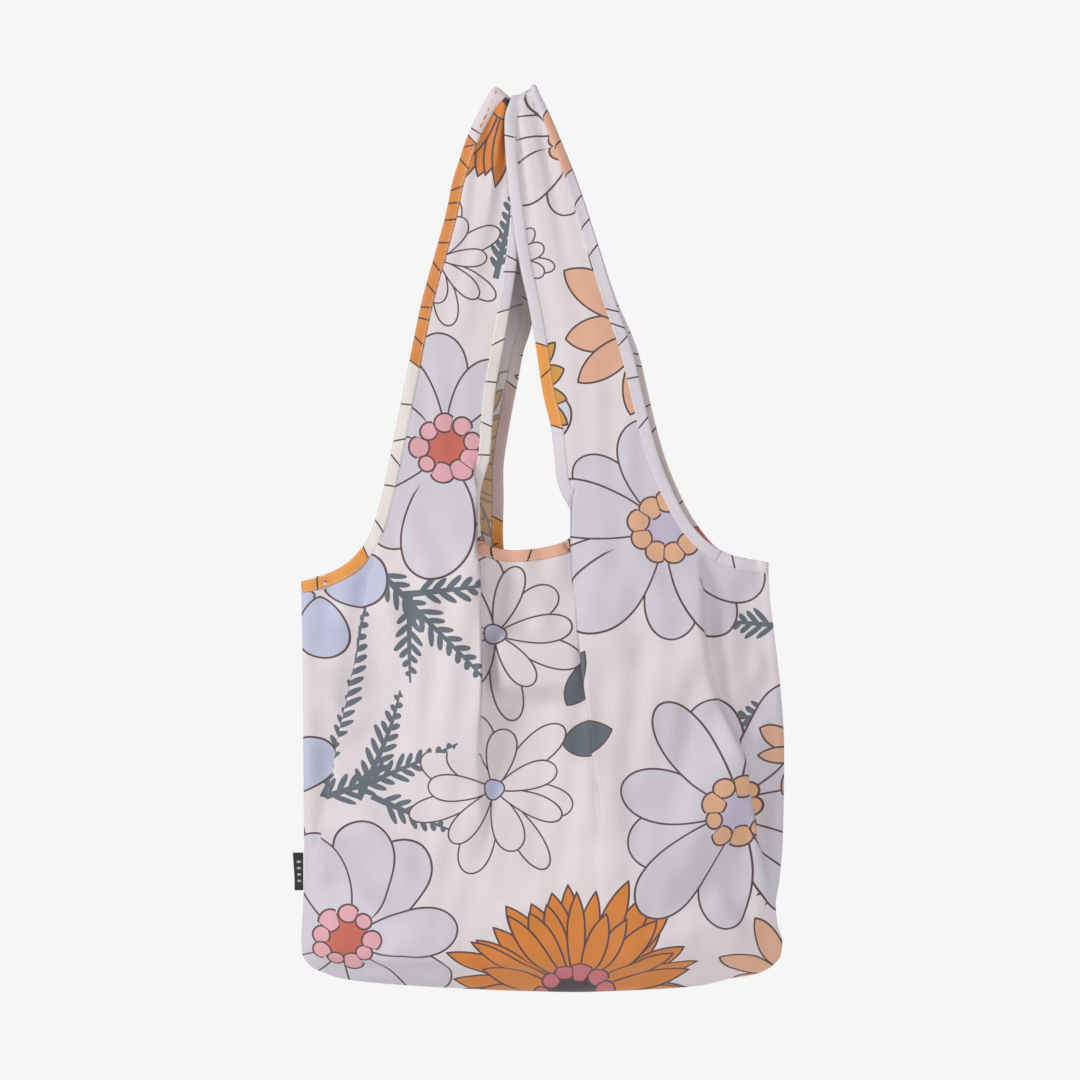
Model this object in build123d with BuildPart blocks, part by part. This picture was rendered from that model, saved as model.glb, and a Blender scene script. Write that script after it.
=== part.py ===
"""Foldable vest-shaped tote bag, hanging from its two joined carrying handles.

Frame: +Z up, +X to the right seen from the front, and the front faces -Y. The origin is the middle of the bounding
box's floor, under the lowest point of the body. Units are millimetres.
"""

import os

from build123d import *

# ---- cloth and trims
PLY = 0.8  # modelled thickness of one ply
PROUD = 0.4  # how far the folded binding stands out from the ply, on each side
GAP = 0.2  # clearance between neighbouring pieces
BINDING = 10.0  # finished width of the folded edge binding
TAPE = 8.0  # width of the tape over the seam allowances inside
TAPE_THICK = 1.2
TAPE_INSET = 2.2  # from the body's outer face to the tape

# ---- body: (height, half width, half depth) of the hanging, slightly open bag
BODY_X = 3.0
BODY_SECTIONS = (
    (0, 150, 4),
    (14, 176, 19),
    (40, 193.5, 31),
    (90, 198.6, 39),
    (150, 199, 40),
    (215, 199.6, 37),
    (280, 199.5, 31),
    (340, 197.5, 21.5),
    (400, 191, 16),
)
ROUND_Z = 60.0  # below this the walls turn in to the bottom seam

# ---- vest outline of the panels
LEFT_CORNER = (-196.0, 338.0)
RIGHT_CORNER = (196.0, 354.0)
NECK_Z = 357.0
PANEL_TOP = 370.0  # the panels end here, and the handles begin just above
HANDLE_FOOT = 371.6
FOLD_Z = 384.0  # height of the line across the bag that the handles fold about

# ---- handles: x of the outer and the inner edge of each strap, at these heights
STRAP_Z = (340, 378, 447, 530, 612, 682, 750)
STRAP_EDGES = {
    ("left", "front"): ((-140, -132, -120, -103, -84, -63, -39), (-44, -44, -41, -31, -17, -13, -14)),
    ("left", "back"): ((-130, -122, -110, -95, -79, -61, -39), (-32, -32, -28, -18, -12, -12, -14)),
    ("right", "front"): ((150, 138, 111, 85, 58, 29, 1), (26, 26, 19, 7, -12, -25, -24)),
    ("right", "back"): ((142, 130, 104, 80, 56, 28, 1), (36, 36, 29, 14, -8, -22, -24)),
}
SADDLE_R = 5.0  # radius inside the left handle's turn over its support
CREST_Z = 737.4  # height of that turn's centre
ROOT_Y = 7.5  # half depth inside the left handle at its lower ends
NEST = 2.1  # the right handle passes over the left one, this much further out
CREST_SEAM = 4.6  # half depth of the taped seam over the crest
CREST_X = {"left": (-43.6, -13.0), "right": (-26.0, 7.0)}

# ---- woven label in the left side seam
LABEL_X = (-202.8, -196.6)
LABEL_Z = (84.0, 115.0)
LABEL_THICK = 1.1

# ---- stow pouch that hangs inside from the back neckline
POUCH_X = (-58.0, 66.0)
POUCH_Z = (172.0, 302.0)
POUCH_BACK_Y = 15.2
POUCH_FRONT_Y = 11.0
POUCH_HEM = 12.0
HANG_TAPE_WIDE = 14.0
HANG_TAPE_TOP = 352.0
FLAP_WIDE = 60.0
FLAP_Y = 7.0
FLAP_Z = (258.0, 304.0)
SNAP_Z = 272.0
SNAP_R = 6.0
STUD_R = 1.9
POST_R = 1.2

FAR = 320.0
BACKWARD = {"front": -1, "back": 1}
OUTWARD = {"left": -1, "right": 1}
pouch_middle = sum(POUCH_X) / 2


def finish(piece, label):
    """Names a finished piece and writes it."""
    piece.label = label
    export_step(piece, f"parts/{label}.step")


# ---- shapes shared by the body's pieces
def beside(curve, amount):
    """A curve that runs beside another one, to the left of its direction for a positive amount."""
    stations = [step / 16 for step in range(17)]
    return Spline(*[curve @ at + (curve % at).rotate(Axis.Z, 90) * amount for at in stations])


def body_sections(grow):
    """The body's sections with every face moved out by grow, as height, half width and half depth."""
    for height, half_width, half_depth in BODY_SECTIONS:
        drop = grow * max(0.0, 1 - height / ROUND_Z)
        yield height - drop, half_width + grow, half_depth + grow


def half_form(face, grow):
    """The front or the back half of the body's closed pillow."""
    with BuildPart() as made:
        for height, half_width, half_depth in body_sections(grow):
            with BuildSketch(Plane.XY.offset(height)):
                with BuildLine():
                    start = {"front": 180, "back": 0}[face]
                    rim = EllipticalCenterArc((BODY_X, 0), half_width, half_depth, start_angle=start, arc_size=180)
                    Line(rim @ 1, rim @ 0)
                make_face()
        loft()
    return made.part


def panel_shell(face, outer, inner):
    """One panel's shell between two forms, off the seam plane and up to the fold line."""
    with BuildPart() as made:
        add(half_form(face, outer))
        add(half_form(face, inner), mode=Mode.SUBTRACT)
        with Locations((0, BACKWARD[face] * (FAR + GAP) / 2, PANEL_TOP / 2 - 5)):
            Box(3 * FAR, FAR, PANEL_TOP + 10, mode=Mode.INTERSECT)
    return made.part


def armhole(side, grow=0.0):
    """The cut-away beside a strap, as a prism through both panels."""
    out = OUTWARD[side]
    corner_x, corner_z = LEFT_CORNER if side == "left" else RIGHT_CORNER
    root_x = STRAP_EDGES[side, "front"][0][1]
    with BuildPart() as made:
        with BuildSketch(Plane.XZ):
            with BuildLine():
                edge = Spline(
                    (corner_x + out * 40, corner_z - 12),
                    (corner_x, corner_z),
                    (corner_x - out * 36, corner_z + 8),
                    (root_x + out * 5, FOLD_Z - 18),
                    (root_x, FOLD_Z - 6),
                    (root_x - out * 5, FOLD_Z + 34),
                    mode=Mode.PRIVATE,
                )
                curve = beside(edge, out * grow)
                Polyline(curve @ 1, (out * FAR, FOLD_Z + 34), (out * FAR, corner_z - 12), curve @ 0)
            make_face()
        extrude(amount=FAR, both=True)
    return made.part


def neck(face, grow=0.0):
    """The U between the straps, as a prism through one panel."""
    left_x = STRAP_EDGES["left", face][1][1]
    right_x = STRAP_EDGES["right", face][1][1]
    with BuildPart() as made:
        with BuildSketch(Plane.XZ):
            with BuildLine():
                edge = Spline(
                    (left_x, FOLD_Z + 34),
                    (left_x, FOLD_Z - 6),
                    (left_x + 13, NECK_Z + 3),
                    ((left_x + right_x) / 2, NECK_Z),
                    (right_x - 13, NECK_Z + 4),
                    (right_x, FOLD_Z - 6),
                    (right_x, FOLD_Z + 34),
                    mode=Mode.PRIVATE,
                )
                curve = beside(edge, -grow)
                Line(curve @ 1, curve @ 0)
            make_face()
        extrude(amount=FAR, both=True)
    return made.part


ply_shells = {face: panel_shell(face, 0, -PLY) for face in BACKWARD}
trim_shells = {face: panel_shell(face, PROUD, -PLY - PROUD) for face in BACKWARD}


def panel(face):
    with BuildPart() as made:
        add(ply_shells[face])
        add(armhole("left", BINDING + GAP), mode=Mode.SUBTRACT)
        add(armhole("right", BINDING + GAP), mode=Mode.SUBTRACT)
        add(neck(face, BINDING + GAP), mode=Mode.SUBTRACT)
    return made.part


def edge_binding(face, wide_cut, edge_cut):
    """The folded strip along one edge: proud of the panel on both faces, as wide as the two cuts differ."""
    with BuildPart() as made:
        add(trim_shells[face])
        add(wide_cut, mode=Mode.INTERSECT)
        add(edge_cut, mode=Mode.SUBTRACT)
    return made.part


def armhole_binding(side):
    wide_cut = armhole(side, BINDING)
    edge_cut = armhole(side)
    with BuildPart() as made:
        add(edge_binding("front", wide_cut, edge_cut))
        add(edge_binding("back", wide_cut, edge_cut))
    return made.part


def seam_prism(inset):
    """Everything further inside than the seams by the inset, as a prism across the bag."""
    sections = list(body_sections(-inset))
    with BuildPart() as made:
        with BuildSketch(Plane.XZ):
            with BuildLine():
                left_seam = Spline(*[(BODY_X - half_width, height) for height, half_width, _ in sections])
                right_seam = Spline(*[(BODY_X + half_width, height) for height, half_width, _ in sections])
                Line(left_seam @ 0, right_seam @ 0)
                Line(left_seam @ 1, right_seam @ 1)
            make_face()
        extrude(amount=TAPE_THICK / 2, both=True)
    return made.part


def seam_tape():
    """One tape around the inside of both side seams and the bottom seam."""
    with BuildPart() as made:
        add(seam_prism(TAPE_INSET))
        add(seam_prism(TAPE_INSET + TAPE), mode=Mode.SUBTRACT)
        for side in OUTWARD:
            add(armhole(side, BINDING + 3), mode=Mode.SUBTRACT)
        with Locations((0, 0, FAR * 3 / 2)):
            Box(3 * FAR, FAR, FAR, mode=Mode.SUBTRACT)
    return made.part


# ---- handles: each is one loop, up from the front panel, over the crest and down to the back panel
def loop_band(start, thick):
    """An inverted U seen from the side, drawn out along X. start is its inner face's offset from the saddle."""
    with BuildPart() as made:
        with BuildSketch(Plane.YZ):
            for extra, mode in ((start + thick, Mode.ADD), (start, Mode.SUBTRACT)):
                radius = SADDLE_R + extra
                root = ROOT_Y + extra
                with BuildLine():
                    Line((-root, HANDLE_FOOT), (-radius, CREST_Z))
                    ThreePointArc((-radius, CREST_Z), (0, CREST_Z + radius), (radius, CREST_Z))
                    Line((radius, CREST_Z), (root, HANDLE_FOOT))
                    Line((root, HANDLE_FOOT), (-root, HANDLE_FOOT))
                make_face(mode=mode)
        extrude(amount=FAR, both=True)
    return made.part


def strap_prism(side, face, narrow_outer=0.0, narrow_inner=0.0):
    """The outline of one strap, drawn out to its own side of the bag and narrowed from either edge."""
    outer, inner = STRAP_EDGES[side, face]
    out = OUTWARD[side]
    with BuildPart() as made:
        with BuildSketch(Plane.XZ):
            with BuildLine():
                outer_edge = Spline(*[(x - out * narrow_outer, z) for x, z in zip(outer, STRAP_Z)])
                inner_edge = Spline(*[(x + out * narrow_inner, z) for x, z in zip(inner, STRAP_Z)])
                Line(outer_edge @ 0, inner_edge @ 0)
                Line(outer_edge @ 1, inner_edge @ 1)
            make_face()
        extrude(amount=-BACKWARD[face] * FAR)
    return made.part


def nest(side):
    return NEST if side == "right" else 0.0


def crest_block(grow=0.0):
    """The zone over the crest that the taped seam takes up."""
    with BuildPart() as made:
        with Locations((0, 0, CREST_Z + 10)):
            Box(2 * FAR, 2 * (CREST_SEAM + grow), 20)
    return made.part


def strap(side, face):
    with BuildPart() as made:
        add(loop_band(nest(side) + PROUD, PLY))
        add(strap_prism(side, face, BINDING + GAP / 2, BINDING + GAP / 2), mode=Mode.INTERSECT)
        add(crest_block(GAP), mode=Mode.SUBTRACT)
    return made.part


def strap_binding(side, edge):
    """The folded strip along one edge of a handle, on its front strap and on its back strap."""
    wide = {"outer": (0, 500), "inner": (500, 0)}[edge]
    with BuildPart() as made:
        for face in ("front", "back"):
            band = loop_band(nest(side), PLY + 2 * PROUD) & strap_prism(side, face)
            add(band - strap_prism(side, face, *[BINDING - GAP / 2 if not w else -w for w in wide]))
        add(crest_block(GAP), mode=Mode.SUBTRACT)
    return made.part


def crest_tape(side):
    """The tape over the seam that joins the front strap to the back strap."""
    low_x, high_x = CREST_X[side]
    with BuildPart() as made:
        add(loop_band(nest(side), PLY + 2 * PROUD))
        add(crest_block(), mode=Mode.INTERSECT)
        with Locations(((low_x + high_x) / 2, 0, CREST_Z)):
            Box(high_x - low_x, 4 * SADDLE_R, 60, mode=Mode.INTERSECT)
    return made.part


# ---- plates and discs that face the front of the bag
def upright_plate(x_span, y_span, z_span):
    with BuildPart() as made:
        with Locations((sum(x_span) / 2, sum(y_span) / 2, sum(z_span) / 2)):
            Box(x_span[1] - x_span[0], y_span[1] - y_span[0], z_span[1] - z_span[0])
    return made.part


def snap_disc(radius, y_from, y_to, bore=0.0):
    """A disc across Y on the snap's axis."""
    with BuildPart() as made:
        with BuildSketch(Plane((pouch_middle, y_from, SNAP_Z), x_dir=(1, 0, 0), z_dir=(0, 1, 0))):
            Circle(radius)
            if bore:
                Circle(bore, mode=Mode.SUBTRACT)
        extrude(amount=y_to - y_from)
    return made.part


def woven_label():
    with BuildPart() as made:
        add(upright_plate(LABEL_X, (-LABEL_THICK / 2, LABEL_THICK / 2), LABEL_Z))
        fillet(made.edges().filter_by(Axis.Z).group_by(Axis.X)[0], LABEL_THICK * 0.4)
    return made.part


def pouch_back_ply():
    with BuildPart() as made:
        add(upright_plate(POUCH_X, (POUCH_BACK_Y - PLY, POUCH_BACK_Y), POUCH_Z))
    return made.part


def pouch_front_ply():
    """The pouch's front, with its sides and bottom turned back to meet the back ply."""
    low_x, high_x = POUCH_X
    low_z, high_z = POUCH_Z
    back = POUCH_BACK_Y - PLY - GAP
    with BuildPart() as made:
        add(upright_plate(POUCH_X, (POUCH_FRONT_Y, back), (low_z, high_z - POUCH_HEM - GAP)))
        room = upright_plate(
            (low_x + PLY, high_x - PLY), (POUCH_FRONT_Y + PLY, back + 1), (low_z + PLY, high_z + 1)
        )
        add(room, mode=Mode.SUBTRACT)
        add(snap_disc(POST_R + 0.3, POUCH_FRONT_Y - 1, POUCH_FRONT_Y + PLY + 1), mode=Mode.SUBTRACT)
    return made.part


def pouch_mouth_binding():
    low_x, high_x = POUCH_X
    with BuildPart() as made:
        add(
            upright_plate(
                (low_x - PROUD, high_x + PROUD),
                (POUCH_FRONT_Y - PROUD, POUCH_FRONT_Y + PLY + PROUD),
                (POUCH_Z[1] - POUCH_HEM, POUCH_Z[1]),
            )
        )
    return made.part


def pouch_hang_tape():
    low_x = pouch_middle - HANG_TAPE_WIDE / 2
    high_x = pouch_middle + HANG_TAPE_WIDE / 2
    with BuildPart() as made:
        add(upright_plate((low_x, high_x), (POUCH_BACK_Y + GAP, POUCH_BACK_Y + GAP + PLY), (286, HANG_TAPE_TOP)))
    return made.part


def flap_ply():
    low_x = pouch_middle - FLAP_WIDE / 2
    high_x = pouch_middle + FLAP_WIDE / 2
    with BuildPart() as made:
        add(upright_plate((low_x, high_x), (FLAP_Y, FLAP_Y + PLY), FLAP_Z))
        fillet(made.edges().filter_by(Axis.Y).group_by(Axis.Z)[0], 14)
        add(upright_plate((low_x, high_x), (FLAP_Y, POUCH_BACK_Y - GAP), (FLAP_Z[1] - PLY, FLAP_Z[1])))
        add(snap_disc(POST_R + 0.3, FLAP_Y - 1, FLAP_Y + PLY + 1), mode=Mode.SUBTRACT)
    return made.part


def snap_cap():
    """The outer button, with the post that passes through the flap."""
    with BuildPart() as made:
        add(snap_disc(SNAP_R, FLAP_Y - 1.5, FLAP_Y - 0.1))
        fillet(made.faces().sort_by(Axis.Y)[0].edges(), 0.9)
        add(snap_disc(POST_R, FLAP_Y - 0.5, FLAP_Y + PLY + 0.3))
    return made.part


def snap_socket():
    with BuildPart() as made:
        add(snap_disc(SNAP_R - 0.6, FLAP_Y + PLY + 0.1, POUCH_FRONT_Y - 1.1, bore=STUD_R + 0.2))
    return made.part


def snap_stud():
    """The inner half of the snap: a base on the pouch's front with the knob that the socket grips."""
    with BuildPart() as made:
        add(snap_disc(SNAP_R - 1, POUCH_FRONT_Y - 0.9, POUCH_FRONT_Y - 0.1))
        add(snap_disc(STUD_R, POUCH_FRONT_Y - 2.6, POUCH_FRONT_Y - 0.5))
    return made.part


def snap_post():
    """The disc inside the pouch, with the post that holds the stud."""
    with BuildPart() as made:
        add(snap_disc(SNAP_R - 1, POUCH_FRONT_Y + PLY + 0.1, POUCH_FRONT_Y + PLY + 0.7))
        add(snap_disc(POST_R, POUCH_FRONT_Y, POUCH_FRONT_Y + PLY + 0.4))
    return made.part


# ---- build and export
os.makedirs("parts", exist_ok=True)

for face in ("front", "back"):
    finish(panel(face), f"{face}_panel")
    finish(edge_binding(face, neck(face, BINDING), neck(face)), f"{face}_neck_binding")
for side in ("left", "right"):
    finish(armhole_binding(side), f"{side}_armhole_binding")
    finish(strap(side, "front"), f"{side}_front_strap")
    finish(strap(side, "back"), f"{side}_back_strap")
    finish(strap_binding(side, "outer"), f"{side}_handle_outer_binding")
    finish(strap_binding(side, "inner"), f"{side}_handle_inner_binding")
    finish(crest_tape(side), f"{side}_handle_crest_tape")
finish(seam_tape(), "body_seam_tape")
finish(woven_label(), "woven_side_label")
finish(pouch_back_ply(), "pouch_back_ply")
finish(pouch_front_ply(), "pouch_front_ply")
finish(pouch_mouth_binding(), "pouch_mouth_binding")
finish(pouch_hang_tape(), "pouch_hang_tape")
finish(flap_ply(), "pouch_flap")
finish(snap_cap(), "snap_cap")
finish(snap_socket(), "snap_socket")
finish(snap_stud(), "snap_stud")
finish(snap_post(), "snap_post")
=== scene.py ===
"""Looks of the foldable tote bag: printed ripstop cloth, bound edges, stitching, label and inner stow pouch.

The cloth is a lattice of points in the hanging shape. x and z below are the place seen from the front, in mm.
The print is laid out in the same two numbers, so it is cut where a fold hides cloth.
"""

import math
import random

import bpy
import numpy as np
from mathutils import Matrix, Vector


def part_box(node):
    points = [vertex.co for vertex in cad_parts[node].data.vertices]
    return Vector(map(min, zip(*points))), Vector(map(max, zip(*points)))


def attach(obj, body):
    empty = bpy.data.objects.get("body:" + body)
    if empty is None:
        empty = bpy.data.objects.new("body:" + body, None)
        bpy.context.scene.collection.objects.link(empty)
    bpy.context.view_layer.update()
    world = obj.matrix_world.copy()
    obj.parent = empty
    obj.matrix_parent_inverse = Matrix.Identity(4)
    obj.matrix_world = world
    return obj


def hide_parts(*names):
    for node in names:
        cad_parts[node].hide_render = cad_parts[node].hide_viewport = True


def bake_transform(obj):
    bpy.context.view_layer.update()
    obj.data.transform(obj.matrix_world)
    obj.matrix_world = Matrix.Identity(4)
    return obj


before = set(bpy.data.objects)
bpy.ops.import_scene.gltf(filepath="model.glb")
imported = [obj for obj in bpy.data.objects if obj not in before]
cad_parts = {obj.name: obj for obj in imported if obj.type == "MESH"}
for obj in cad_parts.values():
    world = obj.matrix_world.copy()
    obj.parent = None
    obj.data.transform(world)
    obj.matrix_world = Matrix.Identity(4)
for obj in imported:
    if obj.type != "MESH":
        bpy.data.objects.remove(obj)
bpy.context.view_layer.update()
rng = random.Random(7)

MM = 0.001
SPLIT_Z = 364.0  # the panels end here and the straps' cloth starts
NECK_SPLIT_Z = 371.0  # the neckline's binding ends here and the handles' bindings start
CREST_Z = 737.4  # the straps turn over from here up
STRAP_TOP = 747.0  # the straps' edges are given up to here
CELL = 3.0  # size of one face of the cloth
TURN = 2 * math.pi


# ---------------------------------------------------------------- curves
def smooth(t):
    """0 up to t = 0, 1 from t = 1 and a soft step between."""
    t = np.clip(t, 0, 1)
    return t * t * (3 - 2 * t)


def curve(*points):
    """A smooth function through (position, value) points that doesn't overshoot them."""
    xs = np.array([p[0] for p in points], float)
    ys = np.array([p[1] for p in points], float)
    h = np.diff(xs)
    d = np.diff(ys) / h
    m = np.zeros(len(xs))
    m[0], m[-1] = d[0], d[-1]
    for i in range(1, len(xs) - 1):
        if d[i - 1] * d[i] > 0:
            w1, w2 = 2 * h[i] + h[i - 1], h[i] + 2 * h[i - 1]
            m[i] = (w1 + w2) / (w1 / d[i - 1] + w2 / d[i])

    def at(x):
        x = np.clip(np.asarray(x, float), xs[0], xs[-1])
        i = np.clip(np.searchsorted(xs, x, "right") - 1, 0, len(h) - 1)
        t = (x - xs[i]) / h[i]
        return (
            ys[i] * (2 * t**3 - 3 * t**2 + 1)
            + h[i] * m[i] * (t**3 - 2 * t**2 + t)
            + ys[i + 1] * (3 * t**2 - 2 * t**3)
            + h[i] * m[i + 1] * (t**3 - t**2)
        )

    return at


# body silhouette: x of the side seams and the sag of the bottom seam
SEAM_X = {
    "left": curve(
        (0, -170), (2, -177), (6, -184), (14, -191), (26, -196), (40, -197), (70, -195.5),
        (100, -194.5), (160, -195), (280, -196), (340, -197), (400, -196)
    ),
    "right": curve(
        (0, 160), (2, 171), (6, 181), (14, 191), (26, 198.5), (40, 200), (56, 196), (72, 194.5),
        (92, 197.5), (130, 200.5), (200, 201.5), (250, 198.5), (290, 194), (330, 189.5), (354, 188.5),
        (400, 188)
    ),
}
SAG = curve(
    (-180, 15), (-160, 10.5), (-130, 7), (-94, 4.5), (-33, 1.5), (30, 0), (87, 2), (130, 5), (160, 12)
)
BELLY = curve(
    (0, 0), (3, 5.5), (8, 11), (16, 17), (28, 23.5), (50, 30), (90, 35.5), (150, 37), (215, 34),
    (280, 27.5), (340, 19.5), (370, 15), (420, 13), (750, 6)
)

# strap edges: x against height, for each handle and panel
STRAP = {
    ("left", "front", "outer"): curve(
        (338, -155), (366, -142.5), (389, -135), (410, -129.5), (447, -121.5), (488, -113.5),
        (530, -105), (571, -96.5), (612, -85), (650, -75), (668, -72), (682, -67), (703, -60.5),
        (728, -47), (747, -36)
    ),
    ("left", "front", "inner"): curve(
        (338, -44), (406, -44), (447, -41), (488, -38), (530, -31), (571, -24), (612, -18),
        (653, -14.5), (695, -14), (747, -15)
    ),
    ("right", "front", "inner"): curve(
        (338, 23.5), (369, 23), (390, 22), (402, 18.5), (412, 15), (430, 13.5), (447, 12), (469, 9),
        (488, 4), (508, 0.5), (530, -2.5), (550, -6), (571, -10), (595, -15.5), (640, -22.5),
        (690, -28), (719, -29), (747, -22)
    ),
    ("right", "front", "outer"): curve(
        (338, 165), (366, 140), (381, 127), (406, 112), (447, 95.5), (488, 85), (530, 75), (571, 61),
        (612, 49), (653, 36.5), (682, 26), (703, 18), (726, 7), (747, -5)
    ),
    ("left", "back", "outer"): curve(
        (338, -152), (366, -138), (406, -125), (447, -115), (530, -99), (612, -81), (682, -65),
        (747, -36)
    ),
    ("left", "back", "inner"): curve(
        (338, -33), (366, -32), (410, -30.5), (430, -31), (449, -28.8), (469, -25.5), (488, -22),
        (508, -18), (528, -14.5), (549, -7.5), (571, -5), (612, -9), (695, -13), (747, -15)
    ),
    ("right", "back", "inner"): curve(
        (338, 33), (369, 32), (406, 29), (447, 24), (530, 8), (571, -3), (612, -11), (653, -20),
        (695, -26), (747, -22)
    ),
    ("right", "back", "outer"): curve(
        (338, 168), (366, 145), (381, 132), (406, 117.5), (447, 101), (488, 90.5), (530, 80.5),
        (571, 63), (612, 49.5), (682, 26), (747, -5)
    ),
}
CORNER = {"left": (-197.0, 338.0), "right": (188.5, 354.0)}
NECK_LOW = {"front": (-20.0, 364.0), "back": (1.0, 354.0)}


# ---------------------------------------------------------------- outline paths, in print coordinates
def path_run(path, start=0.0):
    """Length along a path up to each of its points."""
    return start + np.concatenate([[0], np.cumsum(np.linalg.norm(np.diff(path, axis=0), axis=1))])


def resample(points, step):
    """The path again with evenly spaced points."""
    points = np.array(points, float)
    run = path_run(points)
    count = max(2, int(round(run[-1] / step)) + 1)
    at = np.linspace(0, run[-1], count)
    return np.stack([np.interp(at, run, points[:, k]) for k in (0, 1)], 1)


def relax(points, rounds):
    """The path smoothed, with its ends left in place."""
    points = points.copy()
    for _ in range(rounds):
        points[1:-1] = (points[:-2] + 2 * points[1:-1] + points[2:]) / 4
    return points


CREST_RUN = {"left": 9.6, "right": 13.0}  # cloth from the crest's spring line to its top
TOP = {side: CREST_Z + CREST_RUN[side] for side in CREST_RUN}
ROOT_Z = 384.0  # above this height the handles' edges follow the straps' tables
PATH_STEP = 3.0


def strap_line(side, face, edge, low, high):
    """One edge of a strap between two heights."""
    zs = np.append(np.arange(low, high, 4.0), high)
    xs = STRAP[side, face, edge](np.minimum(zs, STRAP_TOP))
    return np.stack([xs, zs], 1)


def leftwards(line):
    """At each point of a path, the direction square to it on its left."""
    d = np.gradient(line, axis=0)
    d /= np.linalg.norm(d, axis=1, keepdims=True)
    return np.stack([-d[:, 1], d[:, 0]], 1)


def armhole_path(side, face):
    """From the top of the side seam along the armhole and up the strap's outer edge to the crest."""
    cx, cz = CORNER[side]
    out = -1 if side == "left" else 1
    root = STRAP[side, face, "outer"](378.0)
    if side == "left":
        bend = [(cx, cz), (-188, 339.5), (-175, 344), (-162, 351), (-150, 361), (root - 3, 372)]
    else:
        bend = [(cx, cz), (178, 355), (165, 357.5), (152, 362), (142, 367.5), (root + 4, 374)]
    line = np.concatenate([resample(bend, 4), strap_line(side, face, "outer", ROOT_Z, TOP[side])])
    return resample(relax(resample(line, PATH_STEP), 12), PATH_STEP), out


def neck_path(side, face):
    """From the middle of the neckline up the strap's inner edge to the crest."""
    mid_x, mid_z = NECK_LOW[face]
    root = float(STRAP[side, face, "inner"](385.0))
    out = 1 if side == "left" else -1
    rises = {"left": (0.4, 2.5, 5.0, 12.0), "right": (2.8, 7.0, 10.0, 15.0)}[side]
    places = (root + out * 18, root + out * 6, root + out * 1.5, root + out * 0.2)
    bend = [(mid_x, mid_z), (mid_x - out * 8, mid_z + 0.1)] + [(x, mid_z + r) for x, r in zip(places, rises)]
    line = np.concatenate([np.array(bend), strap_line(side, face, "inner", ROOT_Z, TOP[side])])
    line = resample(line, PATH_STEP)
    head = line[:2].copy()
    line = relax(line, 6)
    line[:2] = head
    return resample(line, PATH_STEP), out


PATHS = {}
for _side in ("left", "right"):
    for _face in ("front", "back"):
        PATHS[_side, _face, "outer"] = armhole_path(_side, _face)
        PATHS[_side, _face, "inner"] = neck_path(_side, _face)


# ---------------------------------------------------------------- folds and the lattice
# each fold: path of its visible edge, hidden width and step height against z, and which side lies on top
FRONT_FOLDS = (
    dict(x=curve((60, -196), (101, -186), (241, -158), (362, -138), (420, -132)),
         h=curve((95, 0), (150, 5), (250, 7.5), (330, 7), (362, 0)),
         d=curve((90, 0), (150, 7), (330, 8), (372, 0)), top=1, near=5, wide=45),
    dict(x=curve((60, 196), (72, 194), (134, 179), (191, 168), (282, 137), (373, 132)),
         h=curve((66, 0), (90, 4), (140, 6), (200, 6), (260, 3), (330, 4), (366, 0)),
         d=curve((50, 0), (90, 6), (180, 7), (270, 6), (340, 4), (372, 0)), top=-1, near=6, wide=40),
)
NECK_FOLDS = (
    dict(x=curve((150, -44), (240, -50), (300, -52), (345, -54), (372, -57), (440, -54)),
         h=curve((185, 0), (225, 3), (270, 6.5), (330, 9), (362, 9.5), (404, 9.5), (440, 0)),
         d=curve((130, 0), (215, 6.5), (300, 9), (350, 9), (404, 5), (440, 0)), top=-1, near=3, wide=50),
    dict(x=curve((110, 50), (134, 49), (208, 44), (290, 36), (345, 30), (370, 29), (398, 29.5), (424, 28)),
         h=curve((120, 0), (180, 3), (260, 6.5), (330, 8), (362, 8), (396, 8), (424, 0)),
         d=curve((80, 0), (180, 6.5), (300, 9), (350, 8), (394, 4), (426, 0)), top=1, near=3, wide=50),
)
BACK_FOLDS = (
    dict(x=curve((80, -176), (200, -150), (372, -128)), h=curve((90, 0), (220, 6), (366, 0)),
         d=curve((80, 0), (220, 5), (372, 0)), top=1, near=7, wide=42),
    dict(x=curve((120, -52), (250, -40), (372, -36)), h=curve((130, 0), (280, 6), (340, 6), (366, 0)),
         d=curve((110, 0), (280, 4), (372, 0)), top=-1, near=7, wide=46),
    dict(x=curve((150, 50), (280, 42), (372, 40)), h=curve((160, 0), (300, 5), (366, 0)),
         d=curve((140, 0), (300, 4), (372, 0)), top=1, near=7, wide=46),
    dict(x=curve((60, 182), (200, 158), (372, 134)), h=curve((70, 0), (180, 7), (366, 0)),
         d=curve((60, 0), (180, 5), (372, 0)), top=-1, near=7, wide=40),
)
STRAP_FOLDS = {
    ("right", "front"): (dict(x=curve((560, 50), (620, 36), (682, 17), (720, 2), (747, -11)),
                              h=curve((570, 0), (640, 3.2), (690, 4), (750, 3)),
                              d=curve((560, 0), (640, 1.6), (750, 1.6)), top=1, near=5, wide=22),),
    ("left", "front"): (dict(x=curve((540, -60), (620, -46), (690, -34), (747, -25)),
                             h=curve((560, 0), (660, 1.5), (750, 2)),
                             d=curve((540, 0), (660, 1.3), (750, 1.3)), top=-1, near=5, wide=22),),
}


def rows():
    """Heights of the lattice's rows, closer together at the bottom seam."""
    low = [0, 1, 2.2, 3.8, 5.8, 8, 10.6, 13.4, 16.6]
    mid = list(np.linspace(20, SPLIT_Z, 116))
    high = list(np.linspace(SPLIT_Z, CREST_Z, 126))[1:]
    return np.array(low + mid + high)


ROWS = rows()
COLS = np.linspace(0, 1, 139)
SPLIT_ROW = int(np.argmin(abs(ROWS - SPLIT_Z)))
ARC_ROWS = 9


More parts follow.
